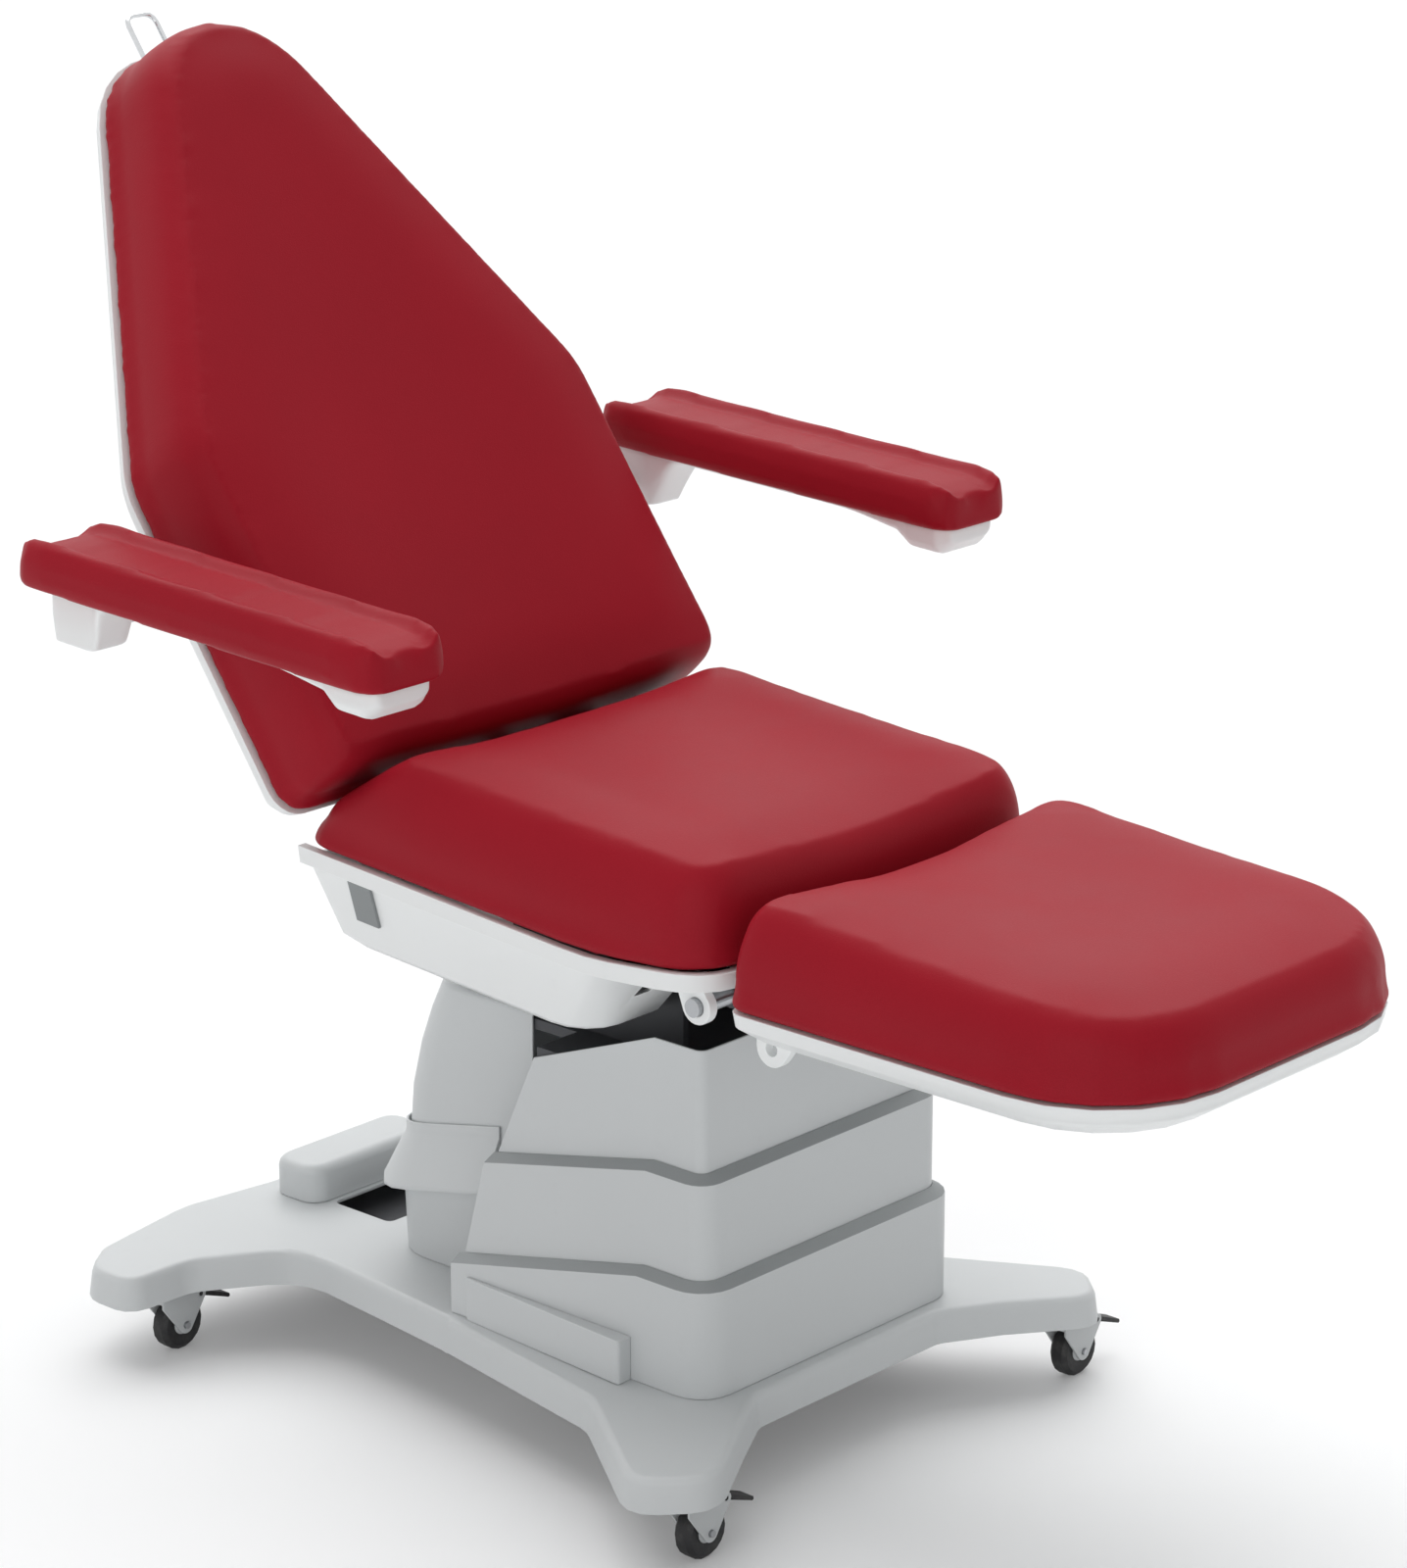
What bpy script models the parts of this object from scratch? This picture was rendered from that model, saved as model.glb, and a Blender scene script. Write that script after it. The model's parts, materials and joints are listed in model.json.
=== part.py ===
"""Motorised blood donor chair on castors, modelled as an assembly of named pieces.

Units are metres and +Z is up.  The donor faces -Y, so the donor's left hand is at +X.
The origin lies on the floor, under the middle of the chair's bounding box in plan.
Right and left in the names are the donor's own.
"""

import math

import bmesh
import bpy
from mathutils import Matrix, Vector

# Clearances
SEAT_GAP = 0.0003        # between pieces that rest on or are fixed to each other
RUN_GAP = 0.0006         # between pieces that slide or turn on each other

# Castors, measured from the swivel axis
CASTOR_X = 0.316
CASTOR_FRONT_Y = -0.406
CASTOR_REAR_Y = 0.406
CASTOR_TRAIL = 0.022
WHEEL_RADIUS = 0.031
WHEEL_WIDTH = 0.024
TYRE_ROUND = 0.005
AXLE_RADIUS = 0.004
FORK_SHEET = 0.003
FORK_SIDE_GAP = 0.0012
FORK_TOP_GAP = 0.003
FORK_CROWN = 0.006
FORK_REACH = 0.013
STEM_RADIUS = 0.0055
STEM_COLLAR_RADIUS = 0.011
PEDAL_LENGTH = 0.052
PEDAL_THICK = 0.006
PEDAL_BARREL = 0.005
PEDAL_WIDTH = 0.020
PEDAL_SLOPE = math.radians(22)

# Base, a moulded cover over a steel plate
BASE_TOP = 0.122
BASE_TIP_DROP = 0.012
BASE_EDGE = 0.083
BASE_WALL = 0.004
BASE_ROUND = 0.009
BASE_DRAFT = 0.004
LEG_FLAT_REACH = 0.218    # distance from the middle plane where the legs begin to fall
LEG_TIP_REACH = 0.400     # distance from the middle plane beyond the leg tips
FRAME_BOTTOM = 0.0785
FRAME_THICK = 0.018
FRAME_INSET = 0.022

# Lifting column
COLUMN_Y = -0.130
COLUMN_HALF_X = 0.075
COLUMN_HALF_Y = 0.065
COLUMN_WALL = 0.005
COLUMN_ROUND = 0.012
LIFT_TRAVEL = 0.180
COLUMN_OUTER_TOP = 0.250
COLUMN_MIDDLE_BOTTOM = 0.190
COLUMN_MIDDLE_TOP = 0.345
COLUMN_INNER_BOTTOM = 0.285
HEAD_DROP = 0.1975       # from the seat cushion's underside to the column's head
HEAD_THICK = 0.012

# Front covers, three telescoping walls open to the rear
COVER_WALL = 0.003
COVER_HALF_X = 0.213
COVER_FRONT_Y = -0.339
COVER_REAR_Y = 0.040
COVER_CORNER = 0.042
COVER_STEP = 0.015       # each cover is this much smaller all round than the one below
COVER_SHOULDER = 0.009   # rise of the sloping shoulder over that step
COVER_RISE = 0.225       # slope of the shoulder lines along the sides
COVER_LEVEL_Y = -0.240   # in front of this line the shoulders run level
LOWER_COVER_TOP = 0.244
MIDDLE_COVER_TOP = 0.360
UPPER_COVER_DROP = 0.1315
UPPER_COVER_RISE = 0.375
COVER_FLOOR_GAP = 0.002
MIDDLE_COVER_LEAN = 0.27
UPPER_COVER_LEAN = 0.45
PANEL_LENGTH = 0.245
PANEL_HEIGHT = 0.050
PANEL_REAR_Y = 0.012
PANEL_THIN = 0.004
PANEL_THICK = 0.020

# Rear covers, open to the front
REAR_HALF_X = 0.120
REAR_WALL = 0.003
REAR_FRONT_Y = 0.000
REAR_END_Y = 0.232
REAR_CORNER = 0.060
REAR_BOTTOM = 0.240
REAR_DROP = 0.1755
REAR_ROOF = 0.013
REAR_CURVE = 0.062       # how far the rear wall leans in by the top
REAR_LOW_TOP = 0.273
REAR_LOW_RISE = 0.220
REAR_LOW_LIP = 0.206
REAR_LOW_FLARE = 0.030
REAR_LOW_BAND = 0.014
REAR_LOW_FRONT_Y = 0.050
BOX_HALF_X = 0.100
BOX_FRONT_Y = 0.378
BOX_REAR_Y = 0.452
WELL_HALF_X = 0.075      # open well between the box and the rear covers
WELL_FRONT_Y = 0.278
WELL_REAR_Y = 0.372
BOX_HEIGHT = 0.046
BOX_ROUND = 0.012

# Seat, in a frame pitched about X at the middle of the cushion's underside
SEAT_HEIGHT = 0.6375
SEAT_PITCH = math.radians(4.0)
SEAT_HALF_X = 0.280
SEAT_FRONT = -0.394
SEAT_REAR = 0.190
SEAT_THICK = 0.128        # at the ridge of its sides
SEAT_DISH = 0.013         # how far the middle lies below that ridge
SEAT_FRONT_CORNER = 0.060
SEAT_REAR_CORNER = 0.030
SEAT_SWEEP_Y = -0.210     # ahead of this line the underside sweeps up
SEAT_SWEEP = 0.020
SWEEP_STOPS = (0.07, 0.13, 0.19, 0.26)
DISH_STOPS = (0.2, 0.4, 0.6, 0.8)
DISH_SPREAD = 0.86        # share of the half width that the hollow takes up
RIM_GAP = 0.0008         # under the seat cushion, where it follows the sweep
SEAT_REAR_STEP = 0.034
SEAT_REAR_SLANT = 1.25
SHELL_WALL = 0.004
SHELL_RIM = 0.022
SHELL_DEPTH = 0.120
SHELL_REAR = 0.236
SHELL_REAR_DROP = 0.034
SHELL_BULGE_FRONT = -0.270
SHELL_FLOOR_FRONT = -0.190
SHELL_FLOOR_REAR = 0.190
SHELL_FLOOR_INSET = 0.055
SEAT_RAIL_INSET = 0.090
SEAT_RAIL = 0.024
SOCKET_Y = 0.118
SOCKET_WIDTH = 0.034
SOCKET_HEIGHT = 0.050

# Hinges
BACK_HINGE_Y = 0.190
BACK_HINGE_RISE = 0.0175
LEG_HINGE_Y = -0.366
LEG_HINGE_DROP = 0.0475
HINGE_RADIUS = 0.010
HINGE_EYE = 0.0155
HINGE_PLATE = 0.012

# Backrest, in a frame at its hinge: local Z runs up the back, local Y to the rear
BACK_ANGLE = math.radians(54.0)
BACK_HALF_X = 0.315
BACK_BOTTOM = 0.026
BACK_SHOULDER = 0.424
BACK_TOP = 0.925
BACK_TOP_ROUND = 0.9824    # of the widest arc that the top edge has room for
BACK_SHOULDER_RADIUS = 0.110
BACK_THICK = 0.122
BACK_DISH = 0.014
BACK_SHELL_DEPTH = 0.050
BACK_SET = 0.022          # of the shell's rear face behind the hinge
BACK_SHELL_LIP = 0.004
BACK_RAIL = 0.030
BACK_RAIL_DEPTH = 0.020
LOOP_WIDTH = 0.043
LOOP_RISE = 0.070
LOOP_WIRE = 0.003
LOOP_X = 0.036
LOOP_SEAT = 0.0066       # how far the shell is set in where the loop stands on it

# Legrest
LEG_REAR = -0.415
LEG_FRONT = -0.928
LEG_HALF_X = 0.270
LEG_DROP = 0.0365
LEG_THICK = 0.119
LEG_DISH = 0.020
LEG_FRONT_CORNER = 0.150
LEG_REAR_CORNER = 0.022
LEG_TIP_THIN = 0.037
LEG_SHELL_DEPTH = 0.046

# Armrests
ARM_X = 0.450
ARM_HALF_X = 0.065
ARM_FRONT = -0.156
ARM_REAR = 0.390
ARM_PAD_RISE = 0.315
ARM_PAD_THICK = 0.055
ARM_SLOPE = math.radians(2.5)
ARM_TROUGH = 0.016
ARM_PIVOT_UP = 0.297
ARM_SHAFT_RADIUS = 0.012
CARRIER_DEPTH = 0.078
CARRIER_HALF_X = 0.052
CARRIER_SLIM = 0.034
CARRIER_FRONT = -0.146
CARRIER_REAR_BLOCK = 0.050

# Actuators, each pushing a pin in a slotted lever
ACTUATOR_X = 0.050
ACTUATOR_LENGTH = 0.185
ROD_RADIUS = 0.010
PIN_RADIUS = 0.004
LEVER_THICK = 0.010
BACK_LEVER = 0.0535
BACK_SWING = math.radians(32.0)
LEG_LEVER = 0.036
LEG_SWING = math.radians(37.5)
SLOT_SLACK = 0.0034
BACK_AHEAD = 0.4         # share of each actuator that lies beyond the cross tube, towards its pin
LEG_AHEAD = 0.8

# Sizes shared by several pieces
BASE_CORNERS = (         # plan of the base's right half, front to rear, as x, y and corner radius
    (-0.150, -0.362, 0.030), (-0.322, -0.460, 0.040), (-0.388, -0.388, 0.040), (-0.275, -0.225, 0.060),
    (-0.232, 0.030, 0.200), (-0.202, 0.290, 0.080), (-0.300, 0.372, 0.050), (-0.384, 0.384, 0.030),
    (-0.384, 0.460, 0.040), (-0.335, 0.491, 0.040), (-0.190, 0.502, 0.080), (-0.070, 0.484, 0.100))
POST_RADIUS = 0.007
POST_REAR_X = 0.130
POST_REAR_Y = (0.300, 0.440)
CROSS_FRONT_Y = -0.200
CROSS_REAR_Y = 0.030
UPRIGHT_X = 0.100
UPRIGHT_THICK = 0.008
RIM_WALL = 0.012
SHELL_BULGE_INSET = 0.018
SHELL_BULGE_CORNER = 0.050
SHELL_MOUTH_HALF_X = 0.125
SHELL_MOUTH_REAR = 0.075
SHELL_LUG_INSET = 0.030
SOCKET_SET = 0.0005
ROD_STROKE = 0.075
LEVER_CLEAR = 0.030
BACK_LOW_RADIUS = 0.030
BACK_TOP_HALF_X = 0.081
BACK_FRAME_INSET = 0.050
BACK_ARM_INSET = 0.030
ARM_PIVOT_BACK = -0.010
CARRIER_INSET = 0.015
CARRIER_NOSE = -0.091
LEG_FRAME_DEPTH = 0.018
LEG_FRAME_INSET = 0.026
LEG_ARM_INSET = 0.040
EAR_X = 0.231
EAR_Y = -0.452
EAR_DROP = 0.0775
EAR_RADIUS = 0.020
BUMPER_X = 0.060
BUMPER_BACK = 0.092
BUMPER_RADIUS = 0.014
BUMPER_HEIGHT = 0.012

RING = 24
TOP_RINGS = (0.25, 0.55, 0.85)
ORDERS = {               # from two plane coordinates and a level to a place, by the axis of the level
    "X": lambda a, b, level: (level, a, b),
    "Y": lambda a, b, level: (a, level, b),
    "Z": lambda a, b, level: (a, b, level),
}

PALETTE = {
    "red_vinyl": ((0.42, 0.02, 0.04), 0.42, 0.0),
    "white_plastic": ((0.75, 0.78, 0.78), 0.38, 0.0),
    "grey_plastic": ((0.52, 0.53, 0.54), 0.45, 0.0),
    "dark_plastic": ((0.09, 0.09, 0.095), 0.55, 0.0),
    "black_rubber": ((0.02, 0.02, 0.022), 0.60, 0.0),
    "dark_steel": ((0.10, 0.10, 0.11), 0.45, 0.8),
    "steel": ((0.55, 0.56, 0.58), 0.30, 1.0),
    "chrome": ((0.78, 0.79, 0.80), 0.12, 1.0),
}

FRAME_TOP = FRAME_BOTTOM + FRAME_THICK
HEAD_BOTTOM = SEAT_HEIGHT - HEAD_DROP
UPPER_COVER_TOP = SEAT_HEIGHT - UPPER_COVER_DROP
REAR_TOP = SEAT_HEIGHT - REAR_DROP
BACK_HINGE_Z = SEAT_HEIGHT + BACK_HINGE_RISE
LEG_HINGE_Z = SEAT_HEIGHT - LEG_HINGE_DROP
LEG_BOTTOM = SEAT_HEIGHT - LEG_DROP
EAR_Z = SEAT_HEIGHT - EAR_DROP
ARM_PAD_BOTTOM = SEAT_HEIGHT + ARM_PAD_RISE
BACK_TAPER = math.atan2(BACK_HALF_X - BACK_TOP_HALF_X, BACK_TOP - BACK_SHOULDER)
BACK_TOP_RADIUS = BACK_TOP_ROUND * BACK_TOP_HALF_X / math.tan((math.pi / 2 - BACK_TAPER) / 2)
SEAT_RAIL_X = SEAT_HALF_X - SEAT_RAIL_INSET
SHELL_BULGE_HALF_X = SEAT_HALF_X - SHELL_BULGE_INSET
SHELL_FLOOR_HALF_X = SEAT_HALF_X - SHELL_FLOOR_INSET
SHELL_LUG_X = SEAT_HALF_X - SHELL_LUG_INSET
BACK_ARM_X = SEAT_RAIL_X - BACK_ARM_INSET
LEG_ARM_X = SEAT_RAIL_X - LEG_ARM_INSET


def clear_scene():
    """Removes whatever the open file holds."""
    for obj in list(bpy.data.objects):
        bpy.data.objects.remove(obj, do_unlink=True)


def make_material(name, kind):
    """Gives one piece its own Principled material."""
    colour, roughness, metallic = PALETTE[kind]
    made = bpy.data.materials.new(name)
    made.use_nodes = True
    shader = made.node_tree.nodes["Principled BSDF"]
    shader.inputs["Base Color"].default_value = (*colour, 1.0)
    shader.inputs["Roughness"].default_value = roughness
    shader.inputs["Metallic"].default_value = metallic
    made.diffuse_color = (*colour, 1.0)
    return made


def link_mesh(name, bm, parent):
    """Turns a bmesh into a linked object under its parent."""
    bmesh.ops.recalc_face_normals(bm, faces=bm.faces)
    mesh = bpy.data.meshes.new(name)
    bm.to_mesh(mesh)
    bm.free()
    obj = bpy.data.objects.new(name, mesh)
    bpy.context.scene.collection.objects.link(obj)
    obj.parent = parent
    return obj


def add_piece(name, bm, kind, parent=None):
    """Adds one named piece with its own material."""
    obj = link_mesh(name, bm, parent)
    obj.data.materials.append(make_material(name, kind))
    obj.data.shade_smooth()
    obj.data.set_sharp_from_angle(angle=math.radians(35))
    return obj


def add_pivot(name, location, parent=None, rotation=(0.0, 0.0, 0.0)):
    """Adds an empty that carries the pieces of one body."""
    empty = bpy.data.objects.new(name, None)
    bpy.context.scene.collection.objects.link(empty)
    empty.parent = parent
    empty.location = location
    empty.rotation_euler = rotation
    return empty


def shape_with(target, bm, operation):
    """Cuts a tool shape from a piece, or fuses it on, as a live Boolean."""
    tool = link_mesh(f"{target.name}_tool_{len(target.modifiers)}", bm, target.parent)
    tool.hide_render = True
    tool.display_type = "WIRE"
    modifier = target.modifiers.new(operation.lower(), "BOOLEAN")
    modifier.operation = operation
    modifier.solver = "EXACT"
    modifier.object = tool


def cut(target, bm):
    """Cuts a tool shape out of a piece."""
    shape_with(target, bm, "DIFFERENCE")


def fuse(target, bm):
    """Welds another shape onto a piece."""
    shape_with(target, bm, "UNION")


def loft(rings, closed=False):
    """Skins rings of equal count, with flat ends or as a closed loop of rings."""
    bm = bmesh.new()
    rows = [[bm.verts.new(point) for point in ring] for ring in rings]
    pairs = list(zip(rows, rows[1:]))
    if closed:
        pairs.append((rows[-1], rows[0]))
    count = len(rows[0])
    for lower, upper in pairs:
        for i in range(count):
            j = (i + 1) % count
            bm.faces.new((lower[i], lower[j], upper[j], upper[i]))
    if not closed:
        bm.faces.new(rows[0])
        bm.faces.new(rows[-1])
    bm.normal_update()
    return bm


def prism(outline, axis, low, high):
    """Extrudes a plane outline along X, Y or Z."""
    order = ORDERS[axis]
    return loft([[order(a, b, level) for a, b in outline] for level in (low, high)])


def box(x0, x1, y0, y1, z0, z1):
    """A plain block."""
    return prism([(x0, y0), (x1, y0), (x1, y1), (x0, y1)], "Z", z0, z1)


def circle(radius, count=RING, centre=(0.0, 0.0)):
    """Points around a circle in a plane."""
    step = 2 * math.pi / count
    turns = [step * i for i in range(count)]
    return [(centre[0] + radius * math.cos(turn), centre[1] + radius * math.sin(turn)) for turn in turns]


def rod(axis, centre, radius, low, high, count=RING):
    """A round bar along X, Y or Z, whose centre is given in the other two axes."""
    return prism(circle(radius, count, centre), axis, low, high)


def turned(profile, axis, centre, count=RING):
    """Spins a closed profile of (radius, along) points about a line parallel to an axis."""
    order = ORDERS[axis]
    step = 2 * math.pi / count
    rings = []
    for i in range(count):
        cos, sin = math.cos(step * i), math.sin(step * i)
        rings.append([order(centre[0] + r * cos, centre[1] + r * sin, along) for r, along in profile])
    return loft(rings, closed=True)


def filleted(corners, steps=4):
    """Closed outline through (x, y, radius) corners, each turned by an arc."""
    points = []
    for k, (x, y, radius) in enumerate(corners):
        here = Vector((x, y))
        if radius <= 0:
            points.append((x, y))
            continue
        before = (Vector(corners[k - 1][:2]) - here).normalized()
        after = (Vector(corners[(k + 1) % len(corners)][:2]) - here).normalized()
        half = before.angle(after) / 2
        reach = radius / math.tan(half)
        centre = here + (before + after).normalized() * (radius / math.sin(half))
        start = here + before * reach - centre
        sweep = start.angle_signed(here + after * reach - centre)
        for i in range(steps + 1):
            turn = Matrix.Rotation(-sweep * i / steps, 2)
            points.append(tuple(centre + turn @ start))
    return points


def mirrored(half):
    """Completes an outline given from its front to its rear on the -X side."""
    return half + [(-x, *rest) for x, *rest in reversed(half)]


def offset_in(outline, distance):
    """Moves each corner of a counter-clockwise outline inwards by a distance."""
    moved = []
    for k, (x, y) in enumerate(outline):
        here = Vector((x, y))
        first = (here - Vector(outline[k - 1])).normalized()
        second = (Vector(outline[(k + 1) % len(outline)]) - here).normalized()
        normal = Vector((-first.y - second.y, first.x + second.x)).normalized()
        lean = max(0.4, normal.dot(Vector((-first.y, first.x))))
        moved.append(tuple(here + normal * (distance / lean)))
    return moved


def counter_clockwise(outline):
    """Returns the outline turning from +X to +Y."""
    area = sum(a[0] * b[1] - b[0] * a[1] for a, b in zip(outline, outline[1:] + outline[:1]))
    return outline if area > 0 else list(reversed(outline))


def rect_corners(half_x, low, high, low_radius, high_radius):
    """Corners of a rectangle centred on X, with its own corner radius at either end."""
    return [(-half_x, low, low_radius), (half_x, low, low_radius),
            (half_x, high, high_radius), (-half_x, high, high_radius)]


def rounded_rect(half_x, low, high, low_radius, high_radius):
    """Rounded rectangle centred on X."""
    return filleted(rect_corners(half_x, low, high, low_radius, high_radius))


def drawn_in(corners, inset, steps=5):
    """Outline of convex counter-clockwise corners, set in by a distance, with its radii reduced to suit."""
    moved = offset_in([(x, y) for x, y, _ in corners], inset)
    radii = [max(radius - inset, SHELL_WALL) for _, _, radius in corners]
    return filleted([(x, y, radius) for (x, y), radius in zip(moved, radii)], steps)


def split_sides(outline, shares):
    """Adds points along the straight sides of a plan outline, at shares of their length from the front."""
    points = []
    for (x0, y0), (x1, y1) in zip(outline, outline[1:] + outline[:1]):
        points.append((x0, y0))
        if abs(x1 - x0) < RUN_GAP and abs(y1 - y0) > SEAT_FRONT_CORNER:
            order = shares if y1 > y0 else [1 - share for share in reversed(shares)]
            points += [(x0, y0 + (y1 - y0) * share) for share in order]
    return points


def u_path(half_x, end, opening, radius, stop, steps=5):
    """U-shaped run from one open end, past a stop and round the closed end, to the other open end."""
    sign = math.copysign(1.0, opening - end)
    arc = [math.radians(90 * i / steps) for i in range(steps + 1)]
    turn_y = end + sign * radius
    side = [(-half_x, opening), (-half_x, stop)]
    corner = [(-half_x + radius - radius * math.cos(a), turn_y - sign * radius * math.sin(a)) for a in arc]
    half = side + corner
    return half + [(-x, y) for x, y in reversed(half)]


def walled(rows):
    """Sweeps a closed wall section along a U, with one row of points per section corner."""
    return loft([[row[i] for row in rows] for i in range(len(rows[0]))])


def split_ends(outline):
    """Adds points along the ends of a plan outline, where a hollow runs out over them."""
    points = []
    for (x0, y0), (x1, y1) in zip(outline, outline[1:] + outline[:1]):
        points.append((x0, y0))
        if abs(y1 - y0) < RUN_GAP and abs(x1 - x0) > SEAT_FRONT_CORNER:
            points += [(x0 + (x1 - x0) * share, y0) for share in DISH_STOPS]
    return points


def hollowed(x, half_x, height, thick, dish):
    """Height of a cushion's point once its upper half is hollowed along the middle."""
    share = min(abs(x) / (half_x * DISH_SPREAD), 1.0)
    return height - dish * (1 - share * share) ** 2 * max(0.0, 2 * height / thick - 1)


def padded(corners, spine, edge, top, to_space, stops=()):
    """A cushion: edge rings set in by a distance, then top rings drawn towards a spine.

    The edge holds (inset, height) pairs from the underside up, the top the shares of its rings.
    The stops are shares of the straight sides that get points of their own.
    """
    plans = [split_ends(split_sides(drawn_in(corners, inset), stops)) for inset, _ in edge]
    rings = [[to_space(x, y, height) for x, y in plan] for plan, (_, height) in zip(plans, edge)]
    last, height = plans[-1], edge[-1][1]
    for share in top:
        ring = []
        for x, y in last:
            centre_y = min(max(y, spine[0]), spine[1])
            ring.append(to_space(x * (1 - share), y + (centre_y - y) * share, height))
        rings.append(ring)
    return loft(rings)


def in_seat(y, z):
    """World height and place to the seat's pitched frame."""
    rise = z - SEAT_HEIGHT
    cos, sin = math.cos(SEAT_PITCH), math.sin(SEAT_PITCH)
    return y * cos + rise * sin, rise * cos - y * sin


def out_of_seat(y, z):
    """The seat's pitched frame to world place and height."""
    cos, sin = math.cos(SEAT_PITCH), math.sin(SEAT_PITCH)
    return y * cos - z * sin, SEAT_HEIGHT + y * sin + z * cos


def swept(y):
    """Rise of the seat's underside towards its front edge."""
    share = min(max((SEAT_SWEEP_Y - y) / (SEAT_SWEEP_Y - SEAT_FRONT), 0.0), 1.0)
    return SEAT_SWEEP * share * share * (3 - 2 * share)


def hull(points):
    """Convex outline around a set of plane points."""
    ordered = sorted(set((round(a, 7), round(b, 7)) for a, b in points))
    chains = []
    for run in (ordered, ordered[::-1]):
        chain = []
        for point in run:
            while len(chain) > 1:
                (ax, ay), (bx, by) = chain[-2], chain[-1]
                if (bx - ax) * (point[1] - ay) - (by - ay) * (point[0] - ax) > 1e-12:
                    break
                chain.pop()
            chain.append(point)
        chains.append(chain[:-1])
    return chains[0] + chains[1]


def shifted(bm, x, y, z):
    """Moves a shape."""
    bmesh.ops.translate(bm, verts=bm.verts, vec=(x, y, z))
    return bm


def bent_rod(path, radius, count=8):
    """A round wire along a path that lies in a plane of constant Y."""
    rings = []
    for i, (x, y, z) in enumerate(path):
        before, after = path[max(i - 1, 0)], path[min(i + 1, len(path) - 1)]
        along = Vector((after[0] - before[0], after[2] - before[2])).normalized()
        ring = []
        for across, up in circle(radius, count):
            ring.append((x - along.y * across, y + up, z + along.x * across))
        rings.append(ring)
    return loft(rings)


def make_castor(place, x, y, root):
    """One swivel castor with a brake pedal; its wheel trails towards +X."""
    pivot = add_pivot(f"castor_{place}", (x, y, 0.0), root)
    half = WHEEL_WIDTH / 2
    cheek = half + FORK_SIDE_GAP
    crown_low = 2 * WHEEL_RADIUS + FORK_TOP_GAP
    crown_high = crown_low + FORK_CROWN
    crown_middle = crown_low + FORK_CROWN / 2
    axle = (CASTOR_TRAIL, WHEEL_RADIUS)
    bore = AXLE_RADIUS + RUN_GAP
    dish = WHEEL_WIDTH / 8
    face = [(bore, half), (WHEEL_RADIUS * 0.36, half), (WHEEL_RADIUS * 0.42, half - dish),
            (WHEEL_RADIUS * 0.70, half),
            (WHEEL_RADIUS - TYRE_ROUND, half), (WHEEL_RADIUS, half - TYRE_ROUND)]
    profile = [(r, -along) for r, along in face] + face[::-1]
    add_piece(f"wheel_{place}", turned(profile, "Y", axle, 18), "black_rubber", pivot)
    axle_end = cheek + 2 * FORK_SHEET
    add_piece(f"axle_{place}", rod("Y", axle, AXLE_RADIUS, -axle_end, axle_end, 16), "steel", pivot)

    hinge = (CASTOR_TRAIL + FORK_REACH + 2.2 * PEDAL_BARREL, crown_low - PEDAL_BARREL / 2)
    front = hinge[0] - PEDAL_BARREL - 2 * RUN_GAP
    crown_half = cheek + FORK_SHEET + RUN_GAP
    crown = box(-FORK_REACH, front, -crown_half, crown_half, crown_low, crown_high)
    fork = add_piece(f"fork_{place}", crown, "grey_plastic", pivot)
    outline = hull(circle(FORK_REACH * 0.8, 16, axle) + circle(FORK_REACH * 0.55, 12, hinge)
                   + [(-FORK_REACH * 0.9, crown_middle), (-FORK_REACH * 0.9, crown_low - FORK_CROWN)])
    for low in (-cheek - FORK_SHEET, cheek):
        fuse(fork, prism(outline, "Y", low, low + FORK_SHEET))
    fuse(fork, rod("Z", (0.0, 0.0), STEM_COLLAR_RADIUS, crown_middle, FRAME_BOTTOM - RUN_GAP, 20))
    fuse(fork, rod("Z", (0.0, 0.0), STEM_RADIUS, crown_middle + FORK_CROWN / 3, FRAME_TOP - RUN_GAP, 16))
    cut(fork, rod("Y", axle, AXLE_RADIUS + SEAT_GAP, -2 * cheek, 2 * cheek, 16))
    cut(fork, rod("Y", hinge, PEDAL_BARREL / 2 + RUN_GAP, -2 * cheek, 2 * cheek, 12))

    along = Vector((math.cos(PEDAL_SLOPE), -math.sin(PEDAL_SLOPE)))
    across = Vector((-along.y, along.x)) * (PEDAL_THICK / 2)
    root_point = Vector(hinge)
    tip = root_point + along * PEDAL_LENGTH
    nose = tip + along * PEDAL_THICK * 0.3
    plate = [root_point - across, tip - across * 0.6, nose, tip + across, root_point + across]
    pedal = add_piece(f"pedal_{place}", rod("Y", hinge, PEDAL_BARREL, -cheek + RUN_GAP, cheek - RUN_GAP, 16),
                      "black_rubber", pivot)
    fuse(pedal, prism([tuple(p) for p in plate], "Y", -PEDAL_WIDTH / 2, PEDAL_WIDTH / 2))
    fuse(pedal, rod("Y", hinge, PEDAL_BARREL / 2, -cheek - FORK_SHEET, cheek + FORK_SHEET, 12))


def base_outline():
    """Plan of the base's lower edge, from the rounded corners of one side."""
    return counter_clockwise(filleted(mirrored(list(BASE_CORNERS)), 3))


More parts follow.
